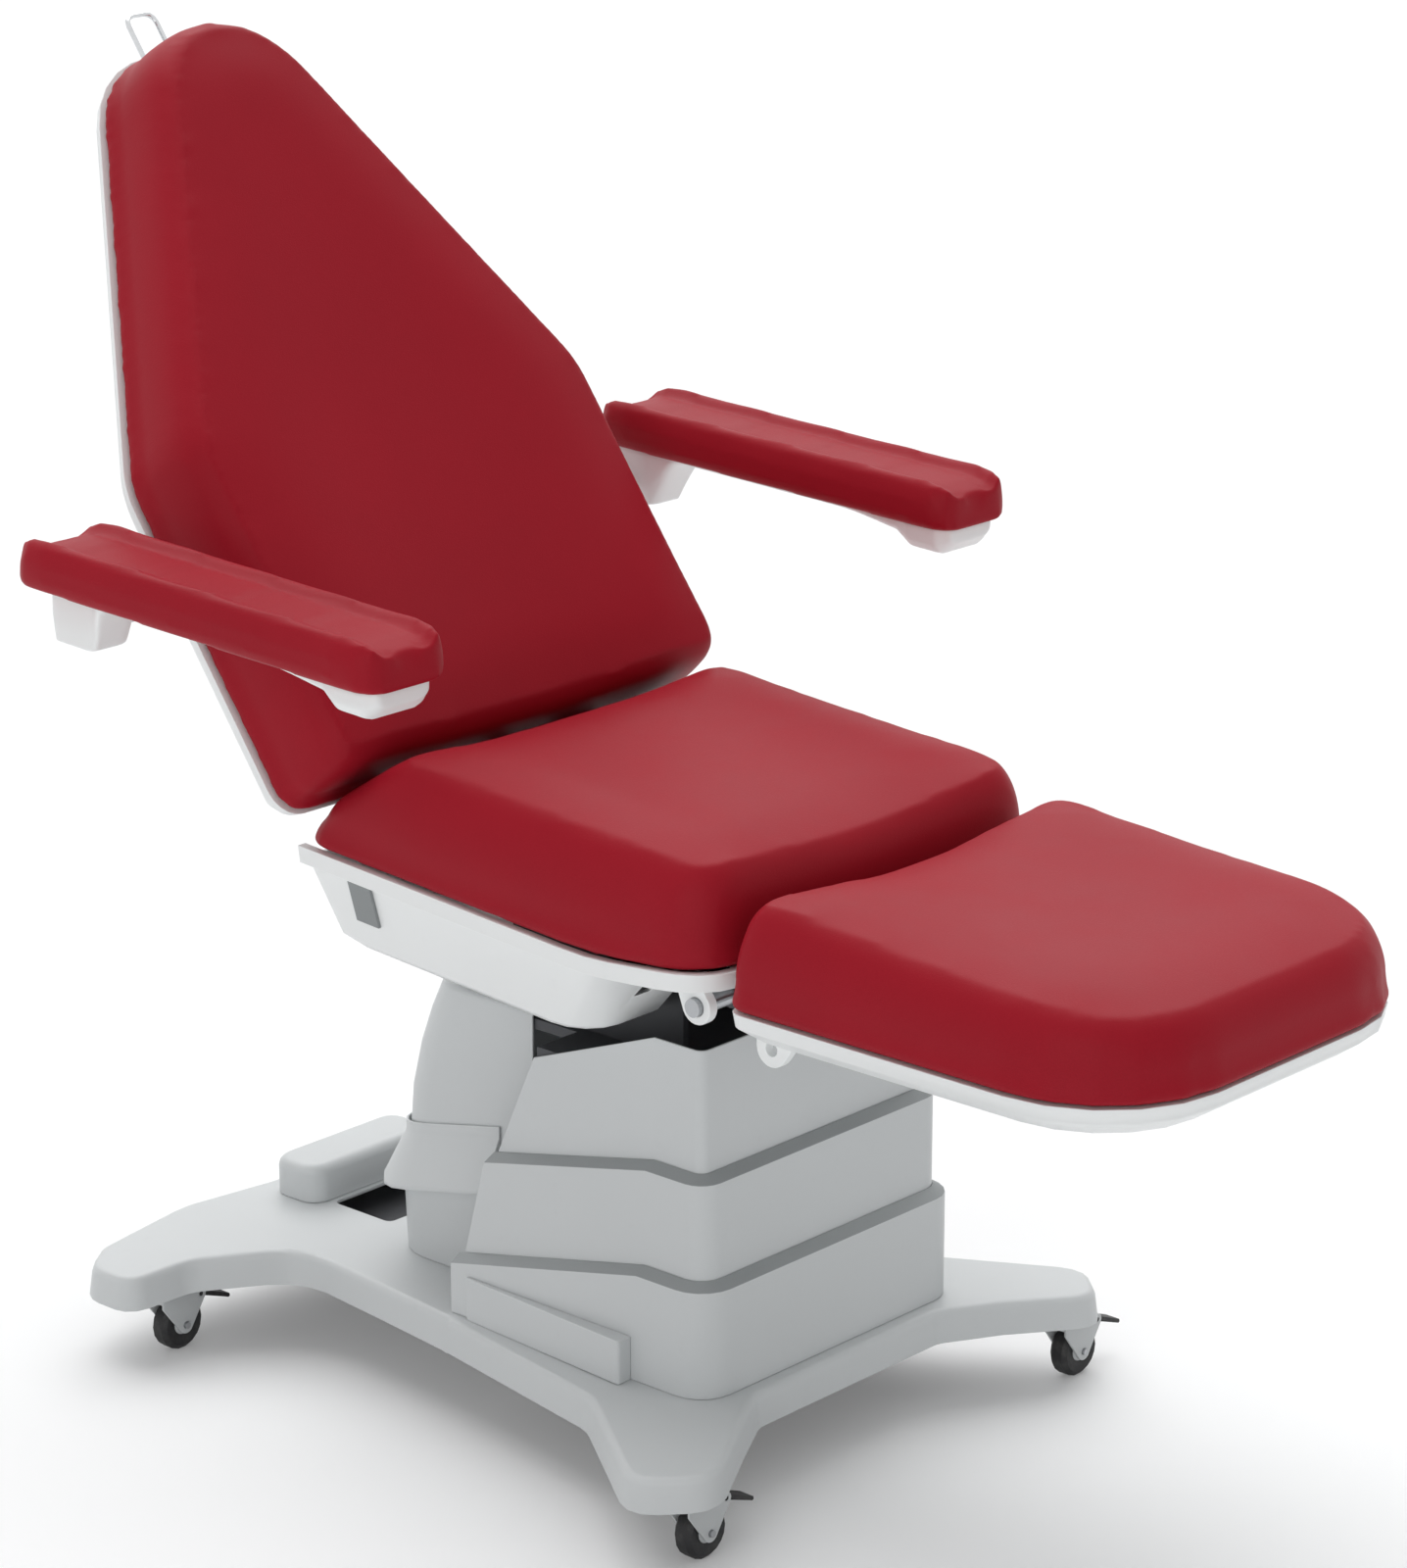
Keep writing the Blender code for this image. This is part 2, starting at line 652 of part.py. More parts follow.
def make_base(root):
    """Base cover with falling legs, and the steel plate that holds the castors and the column."""
    outline = base_outline()
    turn = [math.radians(a) for a in (0, 45, 90)]
    inner_round = BASE_ROUND - BASE_WALL
    spring = BASE_TOP - BASE_ROUND
    outer = [(BASE_DRAFT + BASE_ROUND * (1 - math.cos(a)), spring + BASE_ROUND * math.sin(a)) for a in turn]
    inner = [(BASE_DRAFT + BASE_WALL + inner_round * (1 - math.cos(a)), spring + inner_round * math.sin(a))
             for a in turn]
    levels = inner[::-1] + [(BASE_WALL, BASE_EDGE), (0.0, BASE_EDGE)] + outer
    bm = loft([[(x, y, z) for x, y in offset_in(outline, inset)] for inset, z in levels])
    bmesh.ops.triangulate(bm, faces=[face for face in bm.faces if len(face.verts) > 4])
    for side in (-1, 1):
        geometry = bm.verts[:] + bm.edges[:] + bm.faces[:]
        bmesh.ops.bisect_plane(bm, geom=geometry, plane_co=(side * LEG_FLAT_REACH, 0, 0), plane_no=(1, 0, 0))
    for vert in bm.verts:
        share = min(max((abs(vert.co.x) - LEG_FLAT_REACH) / (LEG_TIP_REACH - LEG_FLAT_REACH), 0.0), 1.0)
        vert.co.z -= share * BASE_TIP_DROP
    cover = add_piece("base_cover", bm, "white_plastic", root)
    half_x = COVER_HALF_X - 2.5 * COVER_WALL
    mouth = rounded_rect(half_x, COVER_FRONT_Y + 2.5 * COVER_WALL, COVER_REAR_Y, COVER_CORNER, BASE_ROUND)
    cut(cover, prism(mouth, "Z", BASE_TOP - 2 * BASE_WALL, BASE_TOP + BASE_WALL))
    rear_half = REAR_HALF_X + 2 * RUN_GAP
    rear_end = REAR_END_Y + 2 * RUN_GAP
    rear_mouth = rounded_rect(rear_half, COVER_REAR_Y - BASE_ROUND, rear_end, BASE_WALL, REAR_CORNER)
    cut(cover, prism(rear_mouth, "Z", BASE_TOP - 3 * BASE_WALL, BASE_TOP + 2 * BASE_WALL))
    well_plan = rounded_rect(WELL_HALF_X, WELL_FRONT_Y, WELL_REAR_Y, BASE_ROUND, BASE_ROUND)
    cut(cover, prism(well_plan, "Z", BASE_TOP - 2 * BASE_WALL, BASE_TOP + BASE_WALL))

    slab = prism(offset_in(outline, FRAME_INSET), "Z", FRAME_BOTTOM, FRAME_TOP)
    plate = add_piece("base_frame", slab, "dark_steel", root)
    well = rounded_rect(rear_half, REAR_FRONT_Y - BASE_WALL, rear_end, BASE_WALL, REAR_CORNER)
    below, above = FRAME_BOTTOM - BASE_WALL, FRAME_TOP + BASE_WALL
    cut(plate, prism(well, "Z", below, above))
    for x in (-CASTOR_X, CASTOR_X):
        for y in (CASTOR_FRONT_Y, CASTOR_REAR_Y):
            cut(plate, rod("Z", (x, y), STEM_RADIUS + RUN_GAP, below, above, 16))
        posts = [(POST_REAR_X, y) for y in POST_REAR_Y]
        posts.append((COVER_HALF_X + BASE_WALL, COVER_FRONT_Y + COVER_CORNER))
        for post_x, y in posts:
            fuse(plate, rod("Z", (math.copysign(post_x, x), y), POST_RADIUS, FRAME_TOP - FRAME_THICK / 2,
                            BASE_TOP - BASE_WALL - 3 * SEAT_GAP, 10))


def tube_stage(stage, low, high):
    """One square tube of the lifting column, counted from the outermost."""
    rings = []
    for inset in (stage * (COLUMN_WALL + RUN_GAP), stage * (COLUMN_WALL + RUN_GAP) + COLUMN_WALL):
        radius = COLUMN_ROUND - (inset - stage * (COLUMN_WALL + RUN_GAP))
        half_y = COLUMN_HALF_Y - inset
        half_x = COLUMN_HALF_X - inset
        rings.append(rounded_rect(half_x, COLUMN_Y - half_y, COLUMN_Y + half_y, radius, radius))
    outer, inner = rings
    levels = ((outer, low), (outer, high), (inner, high), (inner, low))
    return loft([[(x, y, z) for x, y in ring] for ring, z in levels], closed=True)


def make_column(root, middle, lift):
    """Three telescoping tubes; the motor and spindle inside them stay hidden."""
    add_piece("column_outer", tube_stage(0, FRAME_TOP + SEAT_GAP, COLUMN_OUTER_TOP), "steel", root)
    add_piece("column_middle", tube_stage(1, COLUMN_MIDDLE_BOTTOM, COLUMN_MIDDLE_TOP), "steel", middle)
    add_piece("column_inner", tube_stage(2, COLUMN_INNER_BOTTOM, HEAD_BOTTOM - SEAT_GAP), "steel", lift)


def front_cover(tier, bottom, rear, lean, top, rise, shouldered):
    """One wall of the pedestal, U-shaped in plan and open to the rear."""
    inset = tier * COVER_STEP

    def row(offset, lift):
        def height(y):
            return bottom if lift is None else top - rise * max(0.0, y - COVER_LEVEL_Y) + lift
        level = bottom if lift is None else top + rise * COVER_LEVEL_Y + lift
        slope = 0.0 if lift is None else lean * rise
        opening = (rear - lean * (level - bottom)) / (1.0 - slope)
        path = u_path(COVER_HALF_X - inset - offset, COVER_FRONT_Y + inset + offset, opening,
                      COVER_CORNER - inset - offset, COVER_LEVEL_Y)
        return [(x, y, height(y)) for x, y in path]

    sheet = 1.17 * COVER_WALL
    edge = COVER_STEP - RUN_GAP
    rows = [row(0.0, None), row(0.0, 0.0)]
    if shouldered:
        rows += [row(edge, COVER_SHOULDER), row(edge, COVER_SHOULDER - sheet),
                 row(COVER_WALL, COVER_SHOULDER / COVER_STEP * COVER_WALL - sheet)]
    else:
        rows.append(row(COVER_WALL, 0.0))
    return walled(rows + [row(COVER_WALL, None)])


def make_front_covers(root, middle, lift):
    """The three front covers and the wedge panels on the lowest one."""
    floor = FRAME_TOP + COVER_FLOOR_GAP
    lower = front_cover(0, BASE_TOP + SEAT_GAP, COVER_REAR_Y, 0.0, LOWER_COVER_TOP, COVER_RISE, True)
    add_piece("lower_cover", lower, "white_plastic", root)
    sleeve = front_cover(1, floor + LIFT_TRAVEL / 2, COVER_REAR_Y - COVER_STEP / 2, MIDDLE_COVER_LEAN,
                         MIDDLE_COVER_TOP, COVER_RISE, True)
    add_piece("middle_cover", sleeve, "white_plastic", middle)
    upper = front_cover(2, floor + LIFT_TRAVEL, COVER_REAR_Y - 2 * COVER_STEP, UPPER_COVER_LEAN,
                        UPPER_COVER_TOP, UPPER_COVER_RISE, False)
    add_piece("upper_cover", upper, "white_plastic", lift)
    for side, name in ((-1, "right"), (1, "left")):
        inner = side * (COVER_HALF_X + SEAT_GAP)
        front_y = PANEL_REAR_Y - PANEL_LENGTH
        thin, thick = inner + side * PANEL_THIN, inner + side * PANEL_THICK
        outline = filleted([(inner, PANEL_REAR_Y, 0.0), (thin, PANEL_REAR_Y, PANEL_THIN / 2),
                            (thick, front_y, PANEL_THIN), (inner, front_y, 0.0)])
        low = BASE_TOP + SEAT_GAP
        bm = prism(outline, "Z", low, low + PANEL_HEIGHT)
        add_piece(f"side_panel_{name}", bm, "grey_plastic", root)


def rear_row(half_x, end, offset, opening, heights):
    """One row of a rear cover, set out from its inner or outer face by an offset."""
    stop = (opening + end - REAR_CORNER) / 2
    path = u_path(half_x + offset, end + offset, opening, REAR_CORNER + offset, stop)
    return [(x, y, heights(y)) for x, y in path]


def make_rear_covers(root, lift):
    """The rising rear cover, the flared collar it slides in and the control box behind."""
    def end(z):
        return REAR_END_Y - REAR_CURVE * ((z - REAR_BOTTOM) / (REAR_TOP - REAR_BOTTOM)) ** 2

    def row(offset, z):
        return rear_row(REAR_HALF_X, end(z), -offset, REAR_FRONT_Y, lambda y: z)

    span = REAR_TOP - REAR_BOTTOM
    levels = [REAR_BOTTOM + span * share for share in (0.0, 0.35, 0.6, 0.8)]
    lip = 2.5 * REAR_WALL
    outer = [row(0.0, z) for z in levels] + [row(0.0, REAR_TOP - lip), row(0.3 * lip, REAR_TOP - 0.3 * lip)]
    roof = [row(lip, REAR_TOP), row(REAR_ROOF, REAR_TOP), row(REAR_ROOF, REAR_TOP - REAR_WALL),
            row(lip, REAR_TOP - REAR_WALL)]
    inner = [row(REAR_WALL, z) for z in [REAR_TOP - lip] + levels[::-1]]
    add_piece("rear_upper_cover", walled(outer + roof + inner), "white_plastic", lift)

    inside = REAR_HALF_X + RUN_GAP
    inside_end = REAR_END_Y + RUN_GAP

    def band(drop):
        return lambda y: REAR_LOW_TOP + REAR_LOW_RISE * (REAR_END_Y - min(y, REAR_END_Y)) - drop

    def collar(offset, heights):
        return rear_row(inside, inside_end, offset, REAR_LOW_FRONT_Y, heights)

    fall = REAR_LOW_TOP - REAR_LOW_LIP
    foot = BASE_TOP + SEAT_GAP
    rows = [collar(0.0, lambda y: foot), collar(0.0, band(0.0)), collar(REAR_WALL, band(0.0)),
            collar(REAR_WALL, band(REAR_LOW_BAND)), collar(REAR_LOW_FLARE, band(fall)),
            collar(REAR_LOW_FLARE, band(fall + 2 * REAR_WALL)),
            collar(2 * REAR_WALL, band(fall + 3 * REAR_WALL)), collar(REAR_WALL, lambda y: foot)]
    add_piece("rear_lower_cover", walled(rows), "white_plastic", root)

    plan = rounded_rect(BOX_HALF_X, BOX_FRONT_Y, BOX_REAR_Y, 2 * BOX_ROUND, 2 * BOX_ROUND)
    turn = [math.radians(a) for a in (0, 30, 60, 90)]
    spring = foot + BOX_HEIGHT - BOX_ROUND
    rings = [(BOX_ROUND * (1 - math.cos(a)), spring + BOX_ROUND * math.sin(a)) for a in turn]
    rings.insert(0, (0.0, foot))
    add_piece("control_box", loft([[(x, y, z) for x, y in offset_in(plan, inset)] for inset, z in rings]),
              "white_plastic", root)


def make_seat_carrier(lift):
    """Head of the column: a plate that holds the upper covers, and two uprights to the seat frame."""
    inner_half = COVER_HALF_X - 2 * COVER_STEP - COVER_WALL - SEAT_GAP
    tongue_half = REAR_HALF_X - REAR_WALL - SEAT_GAP
    front_y = COVER_FRONT_Y + 2 * COVER_STEP + COVER_CORNER
    head_rear = COLUMN_Y + COLUMN_HALF_Y
    tongue_rear = REAR_END_Y - REAR_CURVE - REAR_CORNER - REAR_WALL
    plan = counter_clockwise(mirrored([(-inner_half, front_y), (-inner_half, head_rear),
                                       (-tongue_half, head_rear), (-tongue_half, tongue_rear)]))
    head = prism(plan, "Z", HEAD_BOTTOM, HEAD_BOTTOM + HEAD_THICK)
    carrier = add_piece("seat_carrier", head, "dark_steel", lift)
    under = -rail_drop() - SEAT_GAP
    front = out_of_seat(CROSS_FRONT_Y - SEAT_RAIL / 2, under)
    rear = out_of_seat(CROSS_REAR_Y + SEAT_RAIL / 2, under)
    foot = HEAD_BOTTOM + HEAD_THICK / 2
    side_view = [(front[0], foot), (rear[0], foot), rear, front]
    for side in (-1, 1):
        x = side * UPRIGHT_X
        fuse(carrier, prism(side_view, "X", x - UPRIGHT_THICK / 2, x + UPRIGHT_THICK / 2))


def rail_drop():
    """Depth of the seat rails below the cushion, down to the shell's front ledge."""
    return SHELL_RIM - SHELL_WALL - SEAT_GAP


def lever_outline(centre, angle, lever, swing):
    """Plate from a hinge eye to the far end of its slot, and the slot itself."""
    slot = PIN_RADIUS + SLOT_SLACK
    near, far = lever, lever / math.cos(swing)
    direction = (math.cos(angle), math.sin(angle))
    ends = [(centre[0] + direction[0] * r, centre[1] + direction[1] * r) for r in (near, far)]
    plate = hull(circle(HINGE_EYE, RING, centre) + circle(slot + PIN_RADIUS, RING, ends[1]))
    hole = hull(circle(slot, 16, ends[0]) + circle(slot, 16, ends[1]))
    return plate, hole


def actuator_radius():
    """Radius that lets the back actuator hang right under the rear cross tube."""
    axis = in_seat(out_of_seat(CROSS_REAR_Y, 0.0)[0], BACK_HINGE_Z - BACK_LEVER)
    slope = SEAT_RAIL / 2 * math.tan(SEAT_PITCH)
    return -rail_drop() - axis[1] - slope - SEAT_GAP


def make_seat(seat, lift, back_rod, leg_rod):
    """Seat frame, shell, cushion, hinge shafts and the two actuators."""
    drop = rail_drop()
    back_eye = in_seat(BACK_HINGE_Y, BACK_HINGE_Z)
    leg_eye = in_seat(LEG_HINGE_Y, LEG_HINGE_Z)
    rail_half = SEAT_RAIL / 2
    top = -SEAT_GAP
    front_cross, rear_cross = [box(-SEAT_RAIL_X, SEAT_RAIL_X, y - rail_half, y + rail_half, -drop, top)
                               for y in (CROSS_FRONT_Y, CROSS_REAR_Y)]
    frame = add_piece("seat_frame", rear_cross, "dark_steel", seat)
    fuse(frame, front_cross)
    for side in (-1, 1):
        low, high = side * SEAT_RAIL_X - rail_half, side * SEAT_RAIL_X + rail_half
        fuse(frame, box(low, high, CROSS_FRONT_Y - rail_half, back_eye[0], -drop, top))
        fuse(frame, prism(circle(HINGE_EYE, RING, back_eye), "X", low, high))
        bracket = hull(circle(HINGE_EYE, RING, leg_eye)
                       + [(CROSS_FRONT_Y - rail_half, -drop), (CROSS_FRONT_Y, -drop / 2),
                          (CROSS_FRONT_Y + rail_half, -drop - HINGE_EYE)])
        fuse(frame, prism(bracket, "X", low, high))
    for centre in (back_eye, leg_eye):
        cut(frame, rod("X", centre, HINGE_RADIUS + SEAT_GAP, -SEAT_HALF_X, SEAT_HALF_X))

    def socket_wall(z):
        share = (-z - SHELL_RIM - SHELL_WALL) / (SHELL_DEPTH - SHELL_RIM - 3 * SHELL_WALL)
        return SHELL_BULGE_HALF_X + (SHELL_FLOOR_HALF_X + 2 * SHELL_WALL - SHELL_BULGE_HALF_X) * share

    rear_knee = SHELL_FLOOR_REAR + (SHELL_REAR - SHELL_FLOOR_REAR) / 3
    knee_half = SHELL_FLOOR_HALF_X + 2 * SHELL_WALL
    rows = [(SEAT_HALF_X + SHELL_WALL, SEAT_FRONT - SHELL_WALL, SHELL_REAR, SEAT_FRONT_CORNER, RIM_GAP),
            (SEAT_HALF_X, SEAT_FRONT, SHELL_REAR, SEAT_FRONT_CORNER, SHELL_RIM),
            (SHELL_BULGE_HALF_X, SHELL_BULGE_FRONT, SHELL_REAR - SHELL_WALL, SHELL_BULGE_CORNER,
             SHELL_RIM + SHELL_WALL),
            (knee_half, SHELL_FLOOR_FRONT - 3 * SHELL_WALL, rear_knee, SHELL_BULGE_CORNER,
             SHELL_DEPTH - 2 * SHELL_WALL),
            (SHELL_FLOOR_HALF_X, SHELL_FLOOR_FRONT, SHELL_FLOOR_REAR, SHELL_BULGE_CORNER, SHELL_DEPTH)]
    outer, inner = [], []
    for k, (half_x, front, rear, corner, depth) in enumerate(rows):
        wall = RIM_WALL if k == 0 else SHELL_WALL
        level = depth if k == 0 else depth - SHELL_WALL
        rear_corner = SEAT_REAR_CORNER if k < 2 else corner
        plan = rounded_rect(half_x, front, rear, corner, rear_corner)
        outer.append([(x, y, swept(y) - depth) for x, y in split_sides(plan, SWEEP_STOPS)])
        plan = rounded_rect(half_x - wall, front + wall, rear - wall, corner - wall, rear_corner - wall)
        inner.append([(x, y, swept(y) - level) for x, y in split_sides(plan, SWEEP_STOPS)])
    shell = add_piece("seat_shell", loft(inner[::-1] + outer), "white_plastic", seat)
    cut(shell, box(-2 * SEAT_HALF_X, 2 * SEAT_HALF_X, SEAT_REAR + SHELL_WALL, 2 * SHELL_REAR,
                   -SHELL_REAR_DROP, SHELL_RIM))
    cut(shell, box(-SHELL_MOUTH_HALF_X, SHELL_MOUTH_HALF_X, SHELL_BULGE_FRONT - SHELL_RIM, SHELL_MOUTH_REAR,
                   -2 * SHELL_DEPTH, -SHELL_RIM - 2 * SHELL_WALL))
    notch = ROD_RADIUS + SHELL_WALL
    cut(shell, box(ACTUATOR_X - notch, ACTUATOR_X + notch, SHELL_FLOOR_REAR, 2 * SHELL_REAR,
                   -SHELL_DEPTH + 3 * SHELL_WALL, SHELL_RIM))
    for side in (-1, 1):
        x = side * SEAT_RAIL_X
        cut(shell, box(x - rail_half - RUN_GAP, x + rail_half + RUN_GAP, leg_eye[0] - HINGE_EYE,
                       CROSS_FRONT_Y + rail_half, -3 * SHELL_RIM, -SHELL_WALL))
        lug = side * SHELL_LUG_X
        ledge = swept(leg_eye[0]) - SHELL_RIM + SHELL_WALL / 2
        outline = hull(circle(HINGE_EYE + SHELL_WALL, RING, leg_eye)
                       + [(leg_eye[0] - HINGE_EYE / 2, ledge), (leg_eye[0] + 2 * HINGE_EYE, ledge)])
        outline = [(y, min(z, ledge)) for y, z in outline]
        fuse(shell, prism(hull(outline), "X", lug - HINGE_PLATE / 2, lug + HINGE_PLATE / 2))
        cut(shell, rod("X", leg_eye, HINGE_RADIUS + SEAT_GAP, lug - HINGE_PLATE, lug + HINGE_PLATE))
        high, low = -SHELL_RIM - 2 * SHELL_WALL, -SHELL_RIM - 2 * SHELL_WALL - SOCKET_HEIGHT
        inside = [(side * (socket_wall(z) + SOCKET_SET), z) for z in (low, high)]
        outside = [(x + side * SHELL_WALL, z) for x, z in reversed(inside)]
        socket = prism(inside + outside, "Y", SOCKET_Y - SOCKET_WIDTH / 2, SOCKET_Y + SOCKET_WIDTH / 2)
        add_piece(f"side_socket_{'right' if side < 0 else 'left'}", socket, "grey_plastic", seat)

    def in_space(x, y, z):
        slant = max(0.0, z - SEAT_REAR_STEP) * SEAT_REAR_SLANT
        high = hollowed(x, SEAT_HALF_X, z, SEAT_THICK, SEAT_DISH)
        return (x, y - slant * max(0.0, y / SEAT_REAR), high + swept(y) * max(0.0, 1 - 2 * z / SEAT_THICK))

    plan = rect_corners(SEAT_HALF_X, SEAT_FRONT, SEAT_REAR, SEAT_FRONT_CORNER, SEAT_REAR_CORNER)
    edge = [(0.009, 0.0), (0.002, 0.006), (0.0, 0.016), (-0.003, SEAT_THICK * 0.45),
            (0.0, SEAT_THICK * 0.72), (0.008, SEAT_THICK * 0.88), (0.020, SEAT_THICK * 0.97),
            (0.034, SEAT_THICK)]
    spine = (SEAT_FRONT / 2, 0.0)
    pad = padded(plan, spine, edge, TOP_RINGS, in_space, SWEEP_STOPS)
    cushion = add_piece("seat_cushion", pad, "red_vinyl", seat)
    relief = HINGE_EYE + 2.5 * SHELL_WALL
    relief_x = SEAT_RAIL_X + SEAT_RAIL + SHELL_WALL
    cut(cushion, box(-relief_x, relief_x, back_eye[0] - relief, 2 * SEAT_REAR, -SEAT_RAIL, SEAT_THICK / 2))

    for name, centre, reach in (("back", (BACK_HINGE_Y, BACK_HINGE_Z), SEAT_RAIL_X + SEAT_RAIL),
                                ("leg", (LEG_HINGE_Y, LEG_HINGE_Z), SHELL_LUG_X + HINGE_PLATE)):
        add_piece(f"{name}_hinge_shaft", rod("X", centre, HINGE_RADIUS, -reach, reach), "steel", lift)

    make_actuators(frame, lift, back_rod, leg_rod)


def make_actuators(frame, lift, back_rod, leg_rod):
    """Two spindle motors with sliding rods, hung from the seat's rear cross tube."""
    radius = actuator_radius()
    bore = ROD_RADIUS + RUN_GAP
    cross_y = out_of_seat(CROSS_REAR_Y, 0.0)[0]
    back_pin = (BACK_HINGE_Y + BACK_LEVER * math.tan(BACK_SWING), BACK_HINGE_Z - BACK_LEVER)
    leg_pin = (LEG_HINGE_Y - LEG_LEVER * math.tan(LEG_SWING), LEG_HINGE_Z - LEG_LEVER)
    jobs = (("back", ACTUATOR_X, back_pin, 1.0, BACK_AHEAD, back_rod),
            ("leg", -ACTUATOR_X, leg_pin, -1.0, LEG_AHEAD, leg_rod))
    for name, x, (pin_y, z), sign, ahead, pivot in jobs:
        mouth = cross_y + sign * ACTUATOR_LENGTH * ahead
        rear = mouth - sign * ACTUATOR_LENGTH
        floor = rear + sign * radius / 2
        profile = [(radius * 0.8, rear), (radius, rear + sign * radius * 0.3), (radius, mouth), (bore, mouth),
                   (bore, floor), (PIN_RADIUS, floor), (PIN_RADIUS, rear)]
        add_piece(f"{name}_actuator", turned(profile, "Y", (x, z), 20), "dark_plastic", lift)
        ends = sorted((floor + sign * ROD_STROKE, pin_y - sign * LEVER_CLEAR))
        stem = add_piece(f"{name}_actuator_rod", rod("Y", (x, z), ROD_RADIUS, *ends, 16), "chrome", pivot)
        arm = LEVER_THICK / 2 + RUN_GAP
        for side in (-1, 1):
            low, high = sorted((x + side * arm, x + side * (ROD_RADIUS + RUN_GAP)))
            ends = sorted((pin_y - sign * (LEVER_CLEAR + ROD_RADIUS / 2), pin_y + sign * 2 * PIN_RADIUS))
            fuse(stem, box(low, high, *ends, z - ROD_RADIUS * 0.7, z + ROD_RADIUS * 0.7))
        fuse(stem, rod("X", (pin_y, z), PIN_RADIUS, x - arm - RUN_GAP * 2, x + arm + RUN_GAP * 2, 12))
    hanger = in_seat(cross_y, LEG_HINGE_Z - LEG_LEVER + radius + 2 * RUN_GAP)
    half = SEAT_RAIL / 2
    fuse(frame, box(-ACTUATOR_X - half, -ACTUATOR_X + half, CROSS_REAR_Y - half / 2, CROSS_REAR_Y + half / 2,
                    hanger[1], -rail_drop() / 2))


def back_corners():
    """Corners of the backrest cushion in the plane of the back."""
    return counter_clockwise(mirrored([
        (-BACK_HALF_X, BACK_BOTTOM, BACK_LOW_RADIUS), (-BACK_HALF_X, BACK_SHOULDER, BACK_SHOULDER_RADIUS),
        (-BACK_TOP_HALF_X, BACK_TOP, BACK_TOP_RADIUS)]))


